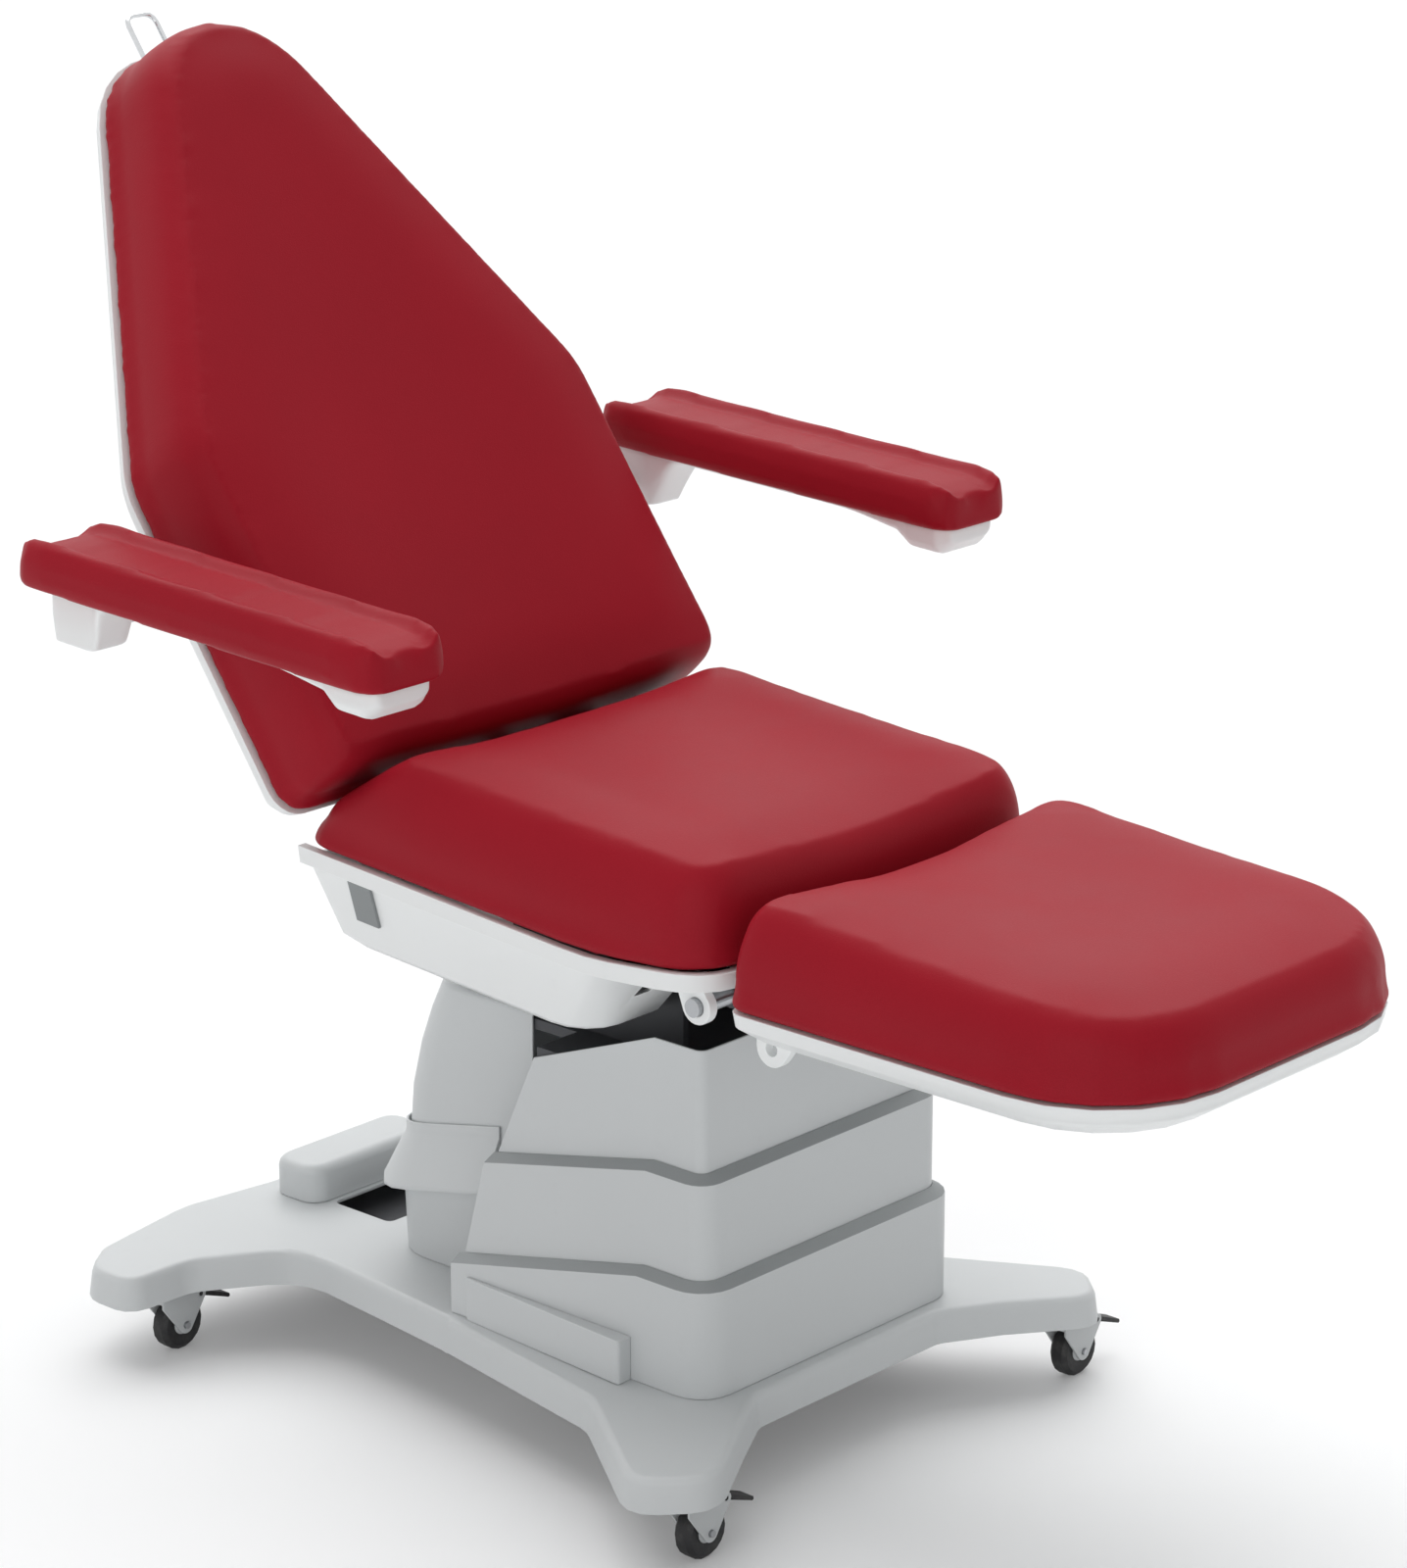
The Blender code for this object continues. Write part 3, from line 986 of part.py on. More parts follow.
def make_backrest(back):
    """Cushion, shell, steel frame with hinge arms and lever, hanging loop and armrest shafts."""
    corners = back_corners()
    rim = BACK_SET - BACK_SHELL_DEPTH
    seatback = rim - SEAT_GAP

    def in_space(x, up, height):
        taper = min(max((up - BACK_SHOULDER) / (BACK_TOP - BACK_SHOULDER), 0.0), 1.0)
        half_x = BACK_HALF_X + (BACK_TOP_HALF_X - BACK_HALF_X) * taper
        return (x, seatback - hollowed(x, half_x, height, BACK_THICK, BACK_DISH * (1 - taper)), up)

    edge = [(0.009, 0.0), (0.002, 0.006), (0.0, 0.016), (-0.003, BACK_THICK * 0.45),
            (-0.001, BACK_THICK * 0.75), (0.005, BACK_THICK * 0.9), (0.014, BACK_THICK * 0.97),
            (0.030, BACK_THICK)]
    spine = (BACK_HALF_X * 0.7, BACK_TOP - BACK_TOP_RADIUS * 1.6)
    add_piece("backrest_cushion", padded(corners, spine, edge, TOP_RINGS, in_space), "red_vinyl", back)

    depths = [(-BACK_SHELL_LIP, 1.0), (0.0, 0.75), (0.018, 0.3), (0.036, 0.09), (0.054, 0.0)]
    outer = [[(x, BACK_SET - BACK_SHELL_DEPTH * share, up) for x, up in drawn_in(corners, inset)]
             for inset, share in depths]
    inner = []
    for k, (inset, share) in enumerate(depths):
        wall = RIM_WALL + BACK_SHELL_LIP if k == 0 else SHELL_WALL
        level = BACK_SHELL_DEPTH * share if k == 0 else BACK_SHELL_DEPTH * share + SHELL_WALL
        inner.append([(x, BACK_SET - level, up) for x, up in drawn_in(corners, inset + wall)])
    shell = add_piece("backrest_shell", loft(inner[::-1] + outer), "white_plastic", back)

    front, rear = rim, rim + BACK_RAIL_DEPTH
    ring_out = drawn_in(corners, BACK_FRAME_INSET)
    ring_in = drawn_in(corners, BACK_FRAME_INSET + BACK_RAIL)
    levels = ((ring_out, front), (ring_out, rear), (ring_in, rear), (ring_in, front))
    ring = loft([[(x, level, up) for x, up in outline] for outline, level in levels], closed=True)
    frame = add_piece("backrest_frame", ring, "dark_steel", back)
    low_rail = BACK_BOTTOM + BACK_FRAME_INSET + BACK_RAIL / 2
    anchor = [(front + RUN_GAP, low_rail), (rear - RUN_GAP, low_rail)]
    eye = circle(HINGE_EYE, RING)
    plate, hole = lever_outline((0.0, 0.0), BACK_SWING - BACK_ANGLE, BACK_LEVER, BACK_SWING)
    for x, thick in ((-BACK_ARM_X, HINGE_PLATE), (BACK_ARM_X, HINGE_PLATE), (ACTUATOR_X, LEVER_THICK)):
        fuse(frame, prism(hull(eye + anchor), "X", x - thick / 2, x + thick / 2))
        slot = thick / 2 + SHELL_WALL
        cut(shell, box(x - slot, x + slot, -2 * BACK_SHELL_DEPTH, BACK_SHELL_DEPTH, -BACK_BOTTOM, low_rail))
    fuse(frame, prism(plate, "X", ACTUATOR_X - LEVER_THICK / 2, ACTUATOR_X + LEVER_THICK / 2))
    cut(frame, prism(hole, "X", ACTUATOR_X - LEVER_THICK, ACTUATOR_X + LEVER_THICK))
    cut(frame, rod("X", (0.0, 0.0), HINGE_RADIUS + RUN_GAP, -BACK_HALF_X, BACK_HALF_X))

    axis = (ARM_PIVOT_BACK, ARM_PIVOT_UP)
    boss = ARM_SHAFT_RADIUS + SHELL_WALL
    rail_x = BACK_HALF_X - BACK_FRAME_INSET - BACK_RAIL / 2
    for side, name in ((-1, "right"), (1, "left")):
        fuse(frame, box(side * rail_x - BACK_RAIL * 0.6, side * rail_x + BACK_RAIL * 0.6, front + RUN_GAP,
                        axis[0] + boss, axis[1] - 1.5 * boss, axis[1] + 1.5 * boss))
        inner_end, outer_end = side * (rail_x - BACK_RAIL), side * (ARM_X + SHELL_WALL)
        low, high = sorted((inner_end, outer_end))
        cut(frame, rod("X", axis, ARM_SHAFT_RADIUS + SEAT_GAP, low, high))
        cut(shell, rod("X", axis, ARM_SHAFT_RADIUS + RUN_GAP, low, high))
        add_piece(f"arm_shaft_{name}", rod("X", axis, ARM_SHAFT_RADIUS, low, high), "steel", back)

    depth = BACK_SET - BACK_SHELL_DEPTH / 2
    crest = BACK_TOP_RADIUS - LOOP_SEAT
    bend = LOOP_WIDTH * 0.3
    arc = [math.radians(a) for a in range(0, 91, 30)]
    path = []
    for side in (-1, 1):
        x = LOOP_X + side * LOOP_WIDTH / 2
        foot = (x, depth, BACK_TOP - BACK_TOP_RADIUS + math.sqrt(crest ** 2 - x ** 2))
        top = BACK_TOP + LOOP_RISE
        turn = [(x - side * bend * (1 - math.cos(a)), depth, top - bend * (1 - math.sin(a))) for a in arc]
        leg = [foot] + turn
        path += leg if side < 0 else leg[::-1]
    add_piece("top_loop", bent_rod(path, LOOP_WIRE), "chrome", back)


def make_armrest(name, pivot, axis_y, axis_z):
    """Trough-shaped pad on a moulded carrier that turns on the backrest's shaft."""
    span = ARM_REAR - ARM_FRONT

    def pad_section(along, width, tall):
        half = ARM_HALF_X * width
        high = ARM_PAD_THICK * tall
        dip = high - ARM_TROUGH * tall
        section = [(-half * 0.88, 0.0), (-half, high * 0.22), (-half, high * 0.6), (-half * 0.9, high * 0.9),
                   (-half * 0.72, high), (-half * 0.5, high - 0.3 * ARM_TROUGH), (-half * 0.22, dip)]
        section += [(-x, z) for x, z in reversed(section)]
        return [(x, along, z) for x, z in section]

    stations = [(0.0, 0.62, 0.5), (0.012, 0.84, 0.8), (0.04, 0.97, 0.96), (0.09, 1.0, 1.0), (0.5, 1.0, 1.0),
                (0.91, 1.0, 1.0), (0.96, 0.97, 0.96), (0.988, 0.84, 0.8), (1.0, 0.62, 0.5)]
    pad = loft([pad_section(ARM_FRONT + span * share, width, tall) for share, width, tall in stations])
    add_piece(f"arm_pad_{name}", shifted(pad, 0.0, -axis_y, ARM_PAD_BOTTOM - axis_z), "red_vinyl", pivot)

    rear = ARM_REAR - CARRIER_INSET
    block = axis_y - CARRIER_REAR_BLOCK / 2 - CARRIER_INSET
    slim = CARRIER_SLIM / CARRIER_HALF_X
    stations = [(CARRIER_FRONT, 0.68, 0.30), (CARRIER_FRONT + CARRIER_INSET, 0.9, 0.56),
                (CARRIER_NOSE, 0.9, 0.56), (CARRIER_NOSE + 2 * CARRIER_INSET, slim, 0.42),
                (block - 2 * CARRIER_INSET, slim, 0.42), (block, 0.95, 1.0),
                (rear - CARRIER_INSET / 2, 0.95, 1.0), (rear, 0.8, 0.72)]
    rings = []
    for along, width, deep in stations:
        half = CARRIER_HALF_X * width
        low = -CARRIER_DEPTH * deep
        section = [(-half, 0.0), (-half, low * 0.6), (-half * 0.85, low * 0.9), (-half * 0.6, low)]
        section += [(-x, z) for x, z in reversed(section)]
        rings.append([(x, along, z) for x, z in section])
    body = shifted(loft(rings), 0.0, -axis_y, ARM_PAD_BOTTOM - SEAT_GAP - axis_z)
    carrier = add_piece(f"arm_carrier_{name}", body, "white_plastic", pivot)
    side = -1 if name == "right" else 1
    low, high = sorted((-side * ARM_X / 2, side * (SHELL_WALL + RUN_GAP)))
    cut(carrier, rod("X", (0.0, 0.0), ARM_SHAFT_RADIUS + RUN_GAP, low, high))


def make_legrest(leg):
    """Cushion, shell, steel frame with hinge arms and lever, and two floor bumpers."""
    def place(bm):
        return shifted(bm, 0.0, -LEG_HINGE_Y, -LEG_HINGE_Z)

    plan = rect_corners(LEG_HALF_X, LEG_FRONT, LEG_REAR, LEG_FRONT_CORNER, LEG_REAR_CORNER)
    length = LEG_REAR - LEG_FRONT

    def in_space(x, y, height):
        share = min(max((LEG_REAR - y) / length, 0.0), 1.0)
        high = hollowed(x, LEG_HALF_X, height, LEG_THICK, LEG_DISH * (1 - share * share))
        return (x, y, LEG_BOTTOM + high * (1 - LEG_TIP_THIN / LEG_THICK * share))

    edge = [(0.009, 0.0), (0.002, 0.006), (0.0, 0.016), (-0.003, LEG_THICK * 0.45), (0.0, LEG_THICK * 0.72),
            (0.008, LEG_THICK * 0.88), (0.020, LEG_THICK * 0.97), (0.034, LEG_THICK)]
    spine = (LEG_FRONT + LEG_HALF_X, LEG_REAR - length / 4)
    add_piece("legrest_cushion", place(padded(plan, spine, edge, TOP_RINGS, in_space)), "red_vinyl", leg)

    rim = LEG_BOTTOM - SEAT_GAP
    depths = [(0.001, 0.0), (0.004, 0.35), (0.030, 0.75), (0.055, 0.95), (0.075, 1.0)]
    outer = [[(x, y, rim - LEG_SHELL_DEPTH * share) for x, y in drawn_in(plan, inset)]
             for inset, share in depths]
    inner = []
    for k, (inset, share) in enumerate(depths):
        wall = RIM_WALL + SHELL_WALL if k == 0 else SHELL_WALL
        level = rim - LEG_SHELL_DEPTH * share + (0.0 if k == 0 else SHELL_WALL)
        inner.append([(x, y, level) for x, y in drawn_in(plan, inset + wall)])
    shell = add_piece("legrest_shell", place(loft(inner[::-1] + outer)), "white_plastic", leg)

    eye = (EAR_Y - LEG_HINGE_Y, EAR_Z - LEG_HINGE_Z)
    root_z = rim - LEG_SHELL_DEPTH * 0.3 - LEG_HINGE_Z
    ear = hull(circle(EAR_RADIUS, RING, eye) + [(eye[0] + EAR_RADIUS * k, root_z) for k in (-2.2, 1.0)])
    for side in (-1, 1):
        middle = side * EAR_X
        fuse(shell, prism(ear, "X", middle - HINGE_PLATE / 2, middle + HINGE_PLATE / 2))
        cut(shell, rod("X", eye, HINGE_RADIUS * 0.8, middle - HINGE_PLATE, middle + HINGE_PLATE, 12))

    low = rim - LEG_FRAME_DEPTH
    rear, front = LEG_REAR - LEG_FRAME_INSET, LEG_FRONT + 2 * LEG_FRAME_INSET
    ring_out = [(-LEG_ARM_X - SEAT_RAIL / 2, front), (LEG_ARM_X + SEAT_RAIL / 2, front),
                (LEG_ARM_X + SEAT_RAIL / 2, rear), (-LEG_ARM_X - SEAT_RAIL / 2, rear)]
    ring_in = offset_in(ring_out, SEAT_RAIL)
    bm = loft([[(x, y, z) for x, y in ring] for ring, z in
               ((ring_out, low), (ring_out, rim), (ring_in, rim), (ring_in, low))], closed=True)
    frame = add_piece("legrest_frame", place(bm), "dark_steel", leg)
    anchor_y = rear - SEAT_RAIL / 2 - LEG_HINGE_Y
    low_z, high_z = low + RUN_GAP - LEG_HINGE_Z, rim - RUN_GAP - LEG_HINGE_Z
    eye = circle(HINGE_EYE, RING)
    knee = (LEG_REAR - LEG_HINGE_Y, HINGE_EYE * 0.3)
    arm = [(anchor_y, high_z), (anchor_y, low_z)]
    plate, hole = lever_outline((0.0, 0.0), -math.pi / 2 - LEG_SWING, LEG_LEVER, LEG_SWING)
    for x, thick in ((-LEG_ARM_X, HINGE_PLATE), (LEG_ARM_X, HINGE_PLATE), (-ACTUATOR_X, LEVER_THICK)):
        fuse(frame, prism(hull(eye + [knee, (knee[0], -HINGE_EYE * 0.6)]), "X", x - thick / 2, x + thick / 2))
        fuse(frame, prism(hull(arm + [knee, (knee[0], -HINGE_EYE * 0.6)]), "X", x - thick / 2, x + thick / 2))
        slot = thick / 2 + SHELL_WALL
        deep = LEG_SHELL_DEPTH if x == -ACTUATOR_X else -low_z + HINGE_EYE
        inward = rear - LEG_HINGE_Y - (3 if x == -ACTUATOR_X else 1) * SEAT_RAIL
        wide = slot + ROD_RADIUS if x == -ACTUATOR_X else slot
        cut(shell, box(x - wide, x + wide, inward, SEAT_RAIL, -2 * deep, 2 * LEG_SHELL_DEPTH))
    fuse(frame, prism(plate, "X", -ACTUATOR_X - LEVER_THICK / 2, -ACTUATOR_X + LEVER_THICK / 2))
    cut(frame, prism(hole, "X", -ACTUATOR_X - LEVER_THICK, -ACTUATOR_X + LEVER_THICK))
    cut(frame, rod("X", (0.0, 0.0), HINGE_RADIUS + RUN_GAP, -LEG_HALF_X, LEG_HALF_X))

    under = rim - LEG_SHELL_DEPTH - SEAT_GAP
    for side, name in ((-1, "right"), (1, "left")):
        centre = (side * BUMPER_X, LEG_FRONT + BUMPER_BACK)
        bm = turned_button(centre, under, BUMPER_RADIUS, BUMPER_HEIGHT)
        add_piece(f"legrest_bumper_{name}", place(bm), "grey_plastic", leg)


def turned_button(centre, top, radius, height):
    """A round foot that hangs from a flat underside."""
    levels = [(radius, top), (radius, top - height * 0.6), (radius * 0.8, top - height)]
    return loft([[(x, y, z) for x, y in circle(r, 16, centre)] for r, z in levels])


def main():
    """Builds the chair raised, with its back at rest and its legrest level."""
    clear_scene()
    lean = math.pi / 2 - BACK_ANGLE
    reach = BACK_TOP + LOOP_RISE + LOOP_WIRE
    rearmost = BACK_HINGE_Y + reach * math.sin(lean) + (BACK_SET - BACK_SHELL_DEPTH / 2) * math.cos(lean)
    root = add_pivot("chair", (0.0, -(LEG_FRONT + rearmost) / 2, 0.0))
    middle = add_pivot("middle_stage", (0.0, 0.0, 0.0), root)
    lift = add_pivot("lift_stage", (0.0, 0.0, 0.0), root)
    seat = add_pivot("seat_plane", (0.0, 0.0, SEAT_HEIGHT), root, (SEAT_PITCH, 0.0, 0.0))
    back = add_pivot("back_hinge", (0.0, BACK_HINGE_Y, BACK_HINGE_Z), root, (-lean, 0.0, 0.0))
    leg = add_pivot("leg_hinge", (0.0, LEG_HINGE_Y, LEG_HINGE_Z), root)
    back_rod = add_pivot("back_rod", (0.0, 0.0, 0.0), root)
    leg_rod = add_pivot("leg_rod", (0.0, 0.0, 0.0), root)
    axis_y = BACK_HINGE_Y + ARM_PIVOT_BACK * math.cos(lean) + ARM_PIVOT_UP * math.sin(lean)
    axis_z = BACK_HINGE_Z - ARM_PIVOT_BACK * math.sin(lean) + ARM_PIVOT_UP * math.cos(lean)

    make_base(root)
    make_column(root, middle, lift)
    make_front_covers(root, middle, lift)
    make_rear_covers(root, lift)
    make_seat_carrier(lift)
    make_seat(seat, lift, back_rod, leg_rod)
    make_backrest(back)
    make_legrest(leg)
    for side, name in ((-1, "right"), (1, "left")):
        pivot = add_pivot(f"arm_pivot_{name}", (side * ARM_X, axis_y, axis_z), root, (ARM_SLOPE, 0.0, 0.0))
        make_armrest(name, pivot, axis_y, axis_z)
    for end, y in (("front", CASTOR_FRONT_Y), ("rear", CASTOR_REAR_Y)):
        make_castor(f"{end}_right", -CASTOR_X, y, root)
        make_castor(f"{end}_left", CASTOR_X, y, root)


main()
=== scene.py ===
"""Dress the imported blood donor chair: padded vinyl, moulded shells and covers, castors, studio floor and camera."""

import json
import logging
import math
from dataclasses import dataclass
from enum import Enum
from typing import Any, Sequence, Union

import bmesh
import bpy
import numpy as np
from mathutils import Matrix, Vector

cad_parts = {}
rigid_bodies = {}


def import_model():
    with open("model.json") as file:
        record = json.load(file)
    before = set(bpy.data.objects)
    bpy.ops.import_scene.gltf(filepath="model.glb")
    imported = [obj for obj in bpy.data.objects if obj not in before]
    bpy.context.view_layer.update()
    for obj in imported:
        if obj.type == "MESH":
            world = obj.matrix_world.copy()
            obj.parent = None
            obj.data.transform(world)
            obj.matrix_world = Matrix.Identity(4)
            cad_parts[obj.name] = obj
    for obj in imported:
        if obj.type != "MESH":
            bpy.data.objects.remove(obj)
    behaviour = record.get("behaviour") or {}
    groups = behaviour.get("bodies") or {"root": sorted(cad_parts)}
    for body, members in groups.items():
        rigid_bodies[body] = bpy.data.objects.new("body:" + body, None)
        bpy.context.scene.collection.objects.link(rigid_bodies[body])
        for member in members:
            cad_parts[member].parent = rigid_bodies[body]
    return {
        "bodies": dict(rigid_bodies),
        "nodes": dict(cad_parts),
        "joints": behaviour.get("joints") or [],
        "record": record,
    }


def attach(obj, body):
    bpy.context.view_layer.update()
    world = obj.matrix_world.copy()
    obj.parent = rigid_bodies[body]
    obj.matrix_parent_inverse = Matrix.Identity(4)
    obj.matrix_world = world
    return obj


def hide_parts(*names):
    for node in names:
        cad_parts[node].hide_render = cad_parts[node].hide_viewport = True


LOG = logging.getLogger("donor_chair")
Colour = tuple[float, float, float, float]
WHITE: Colour = (1.0, 1.0, 1.0, 1.0)
UP = Vector((0.0, 0.0, 1.0))
MERGE = 1e-5  # points of a solid's copy that lie this close are one
FLAT = math.radians(0.4)  # faces of a solid's copy that meet at less are one
UNDER_FACING = -0.8  # a cushion's points whose normals rise by less than this share are its underside
TOP_FACING = 0.93  # and those whose normals rise by more are its top
FOOT_FREE = 0.2  # share of a cushion's foot from which its points follow their neighbours
FOOT_HELD = 0.4  # share of it below which the simulation holds them
FOOT_OUT = 0.55  # share of it up to which they are let out


def tone(red: float, green: float, blue: float) -> Colour:
    """Turn an 8-bit display colour into the linear colour that a shader takes.

    Args:
        red: Red, 0 to 255.
        green: Green, 0 to 255.
        blue: Blue, 0 to 255.

    Returns:
        The linear colour with full alpha.
    """
    def linear(value: float) -> float:
        """Undo the display curve of one channel."""
        share = value / 255
        return share / 12.92 if share <= 0.04045 else ((share + 0.055) / 1.055) ** 2.4
    return (linear(red), linear(green), linear(blue), 1.0)


def scaled(colour: Colour, share: float) -> Colour:
    """Darken or lighten a colour by one share on all channels."""
    return (colour[0] * share, colour[1] * share, colour[2] * share, 1.0)


def joined(bm: bmesh.types.BMesh) -> np.ndarray:
    """The two points that each edge of a mesh joins, by number."""
    return np.array([[vert.index for vert in edge.verts] for edge in bm.edges])


def places_of(bm: bmesh.types.BMesh) -> np.ndarray:
    """The places of a mesh's points."""
    return np.array([vert.co for vert in bm.verts])


def smooth_faces(bm: bmesh.types.BMesh) -> None:
    """Shade all faces of a mesh smooth."""
    for face in bm.faces:
        face.smooth = True


def averaged(values: np.ndarray, pairs: np.ndarray) -> np.ndarray:
    """Mean of each point's neighbours.

    Args:
        values: One row per point.
        pairs: The points that each edge joins.

    Returns:
        One row per point.
    """
    total = np.zeros_like(values)
    count = np.zeros((len(values), 1))
    for near, far in ((0, 1), (1, 0)):
        np.add.at(total, pairs[:, near], values[pairs[:, far]])
        np.add.at(count, pairs[:, near], 1.0)
    return total / np.maximum(count, 1.0)


def evened(solid: bmesh.types.BMesh, voxel: float) -> bmesh.types.BMesh:
    """Cover a solid with an even mesh.

    Args:
        solid: The solid; it is freed.
        voxel: Size of the even mesh's faces.

    Returns:
        The even mesh.
    """
    mesh = bpy.data.meshes.new("blank")
    solid.to_mesh(mesh)
    solid.free()
    blank = bpy.data.objects.new("blank", mesh)
    bpy.context.scene.collection.objects.link(blank)
    remesh = blank.modifiers.new("even", "REMESH")
    remesh.mode = "VOXEL"
    remesh.voxel_size = voxel
    view = bpy.context.evaluated_depsgraph_get()
    even = bpy.data.meshes.new_from_object(blank.evaluated_get(view))
    bpy.data.objects.remove(blank)
    bm = bmesh.new()
    bm.from_mesh(even)
    bpy.data.meshes.remove(even)
    return bm


def rounded(bm: bmesh.types.BMesh, passes: int, free: np.ndarray, back: float = 1.04) -> None:
    """Round a mesh's edges.

    Args:
        bm: The mesh.
        passes: Rounds of smoothing.
        free: How far each point may follow its neighbours, from 0 to 1.
        back: Share of each round that the next step takes back; past 1, the mesh doesn't shrink.
    """
    places = places_of(bm)
    pairs = joined(bm)
    for _ in range(passes):
        for share in (0.5, -0.5 * back):
            places = places + share * free[:, None] * (averaged(places, pairs) - places)
    for vert, place in zip(bm.verts, places):
        vert.co = place
    bm.normal_update()


def eased(value: float, low: float, high: float) -> float:
    """Smooth step from 0 at one bound to 1 at the other."""
    share = min(1.0, max(0.0, (value - low) / (high - low)))
    return share * share * (3.0 - 2.0 * share)


class Signal:
    """A number that varies over a surface, held as a shader socket, with ordinary arithmetic."""

    def __init__(self, sheet: "NodeSheet", socket: bpy.types.NodeSocket) -> None:
        """Wrap a socket of a node sheet."""
        self.sheet = sheet
        self.socket = socket

    def _math(self, operation: str, first: "Operand", second: "Operand") -> "Signal":
        """Add one Math node for two operands."""
        made = self.sheet.node("ShaderNodeMath", {"operation": operation}, {0: first, 1: second})
        return Signal(self.sheet, made.outputs[0])

    def __add__(self, other: "Operand") -> "Signal":
        """Sum."""
        return self._math("ADD", self, other)

    def __radd__(self, other: "Operand") -> "Signal":
        """Sum, from the right."""
        return self._math("ADD", other, self)

    def __sub__(self, other: "Operand") -> "Signal":
        """Difference."""
        return self._math("SUBTRACT", self, other)

    def __rsub__(self, other: "Operand") -> "Signal":
        """Difference, from the right."""
        return self._math("SUBTRACT", other, self)

    def __mul__(self, other: "Operand") -> "Signal":
        """Product."""
        return self._math("MULTIPLY", self, other)

    def __rmul__(self, other: "Operand") -> "Signal":
        """Product, from the right."""
        return self._math("MULTIPLY", other, self)

    def at_most(self, level: "Operand") -> "Signal":
        """The lesser of the signal and a level."""
        return self._math("MINIMUM", self, level)

    def at_least(self, level: "Operand") -> "Signal":
        """The greater of the signal and a level."""
        return self._math("MAXIMUM", self, level)


Operand = Union[Signal, float]


class NodeSheet:
    """The node tree of one material or world."""

    def __init__(self, owner: Union[bpy.types.Material, bpy.types.World]) -> None:
        """Start an empty tree on its owner.

        Args:
            owner: The material or world.
        """
        owner.use_nodes = True
        self.tree = owner.node_tree
        self.tree.nodes.clear()

    def node(self, kind: str, settings: dict[str, Any], inputs: dict[Any, Any]) -> bpy.types.Node:
        """Add a node.

        Args:
            kind: The node's type name.
            settings: Properties of the node, set first.
            inputs: Values or links by socket name or number.

        Returns:
            The new node.
        """
        made = self.tree.nodes.new(kind)
        for name, value in settings.items():
            setattr(made, name, value)
        for key, value in inputs.items():
            source = value.socket if isinstance(value, Signal) else value
            if isinstance(source, bpy.types.NodeSocket):
                self.tree.links.new(source, made.inputs[key])
            else:
                made.inputs[key].default_value = source
        return made

    def place(self, stretch: tuple[float, float, float] = (1.0, 1.0, 1.0)) -> bpy.types.NodeSocket:
        """Object coordinates, stretched along the axes.

        Args:
            stretch: Scale along X, Y and Z.

        Returns:
            The vector socket.
        """
        source = self.node("ShaderNodeTexCoord", {}, {}).outputs["Object"]
        return self.node("ShaderNodeMapping", {}, {"Vector": source, "Scale": stretch}).outputs["Vector"]

    def noise(self, place: bpy.types.NodeSocket, scale: float, detail: float = 2.0,
              rough: float = 0.5) -> Signal:
        """Cloudy noise from zero to one.

        Args:
            place: The vector that it is read at.
            scale: Spots per metre.
            detail: Finer layers.
            rough: Strength of the finer layers.

        Returns:
            The noise.
        """
        made = self.node("ShaderNodeTexNoise", {}, {"Vector": place, "Scale": scale, "Detail": detail,
                                                    "Roughness": rough})
        return Signal(self, made.outputs[0])

    def cells(self, place: bpy.types.NodeSocket, scale: float) -> Signal:
        """Distance to the nearest of scattered points, for pebbled grain.

        Args:
            place: The vector that it is read at.
            scale: Cells per metre.

        Returns:
            The distance, in cells.
        """
        made = self.node("ShaderNodeTexVoronoi", {"feature": "SMOOTH_F1"}, {"Vector": place, "Scale": scale,
                                                                         "Smoothness": 0.6})
        return Signal(self, made.outputs["Distance"])

    def attribute(self, name: str) -> Signal:
        """A number stored on the mesh."""
        return Signal(self, self.node("ShaderNodeAttribute", {"attribute_name": name}, {}).outputs["Fac"])

    def mix(self, share: Operand, low: Any, high: Any) -> bpy.types.NodeSocket:
        """Blend two colours.

        Args:
            share: Zero for the low colour, one for the high one.
            low: Colour or socket.
            high: Colour or socket.

        Returns:
            The colour socket.
        """
        made = self.node("ShaderNodeMix", {"data_type": "RGBA", "clamp_factor": True}, {0: share, 6: low, 7: high})
        return made.outputs[2]

    def bump(self, height: Signal, depth: float, strength: float = 1.0) -> bpy.types.NodeSocket:
        """Normals from a height.

        Args:
            height: Height from zero to one.
            depth: Metres between zero and one.
            strength: Share of the effect.

        Returns:
            The normal socket.
        """
        made = self.node("ShaderNodeBump", {}, {"Height": height, "Distance": depth, "Strength": strength})
        return made.outputs["Normal"]

    def surface(self, inputs: dict[str, Any]) -> None:
        """Add a principled shader and make it the material's surface."""
        shader = self.node("ShaderNodeBsdfPrincipled", {}, inputs)
        self.node("ShaderNodeOutputMaterial", {}, {"Surface": shader.outputs[0]})


@dataclass(frozen=True)
class Finish:
    """What a surface is made of.

    Attributes:
        name: Name of the material.
        colour: Main colour.
        roughness: Mean roughness.
    """

    name: str
    colour: Colour
    roughness: float

    def material(self) -> bpy.types.Material:
        """Make the material.

        Returns:
            The material, with its node tree filled.
        """
        made = bpy.data.materials.new(self.name)
        self.paint(NodeSheet(made))
        return made

    def paint(self, sheet: NodeSheet) -> None:
        """Fill the node tree."""
        raise NotImplementedError


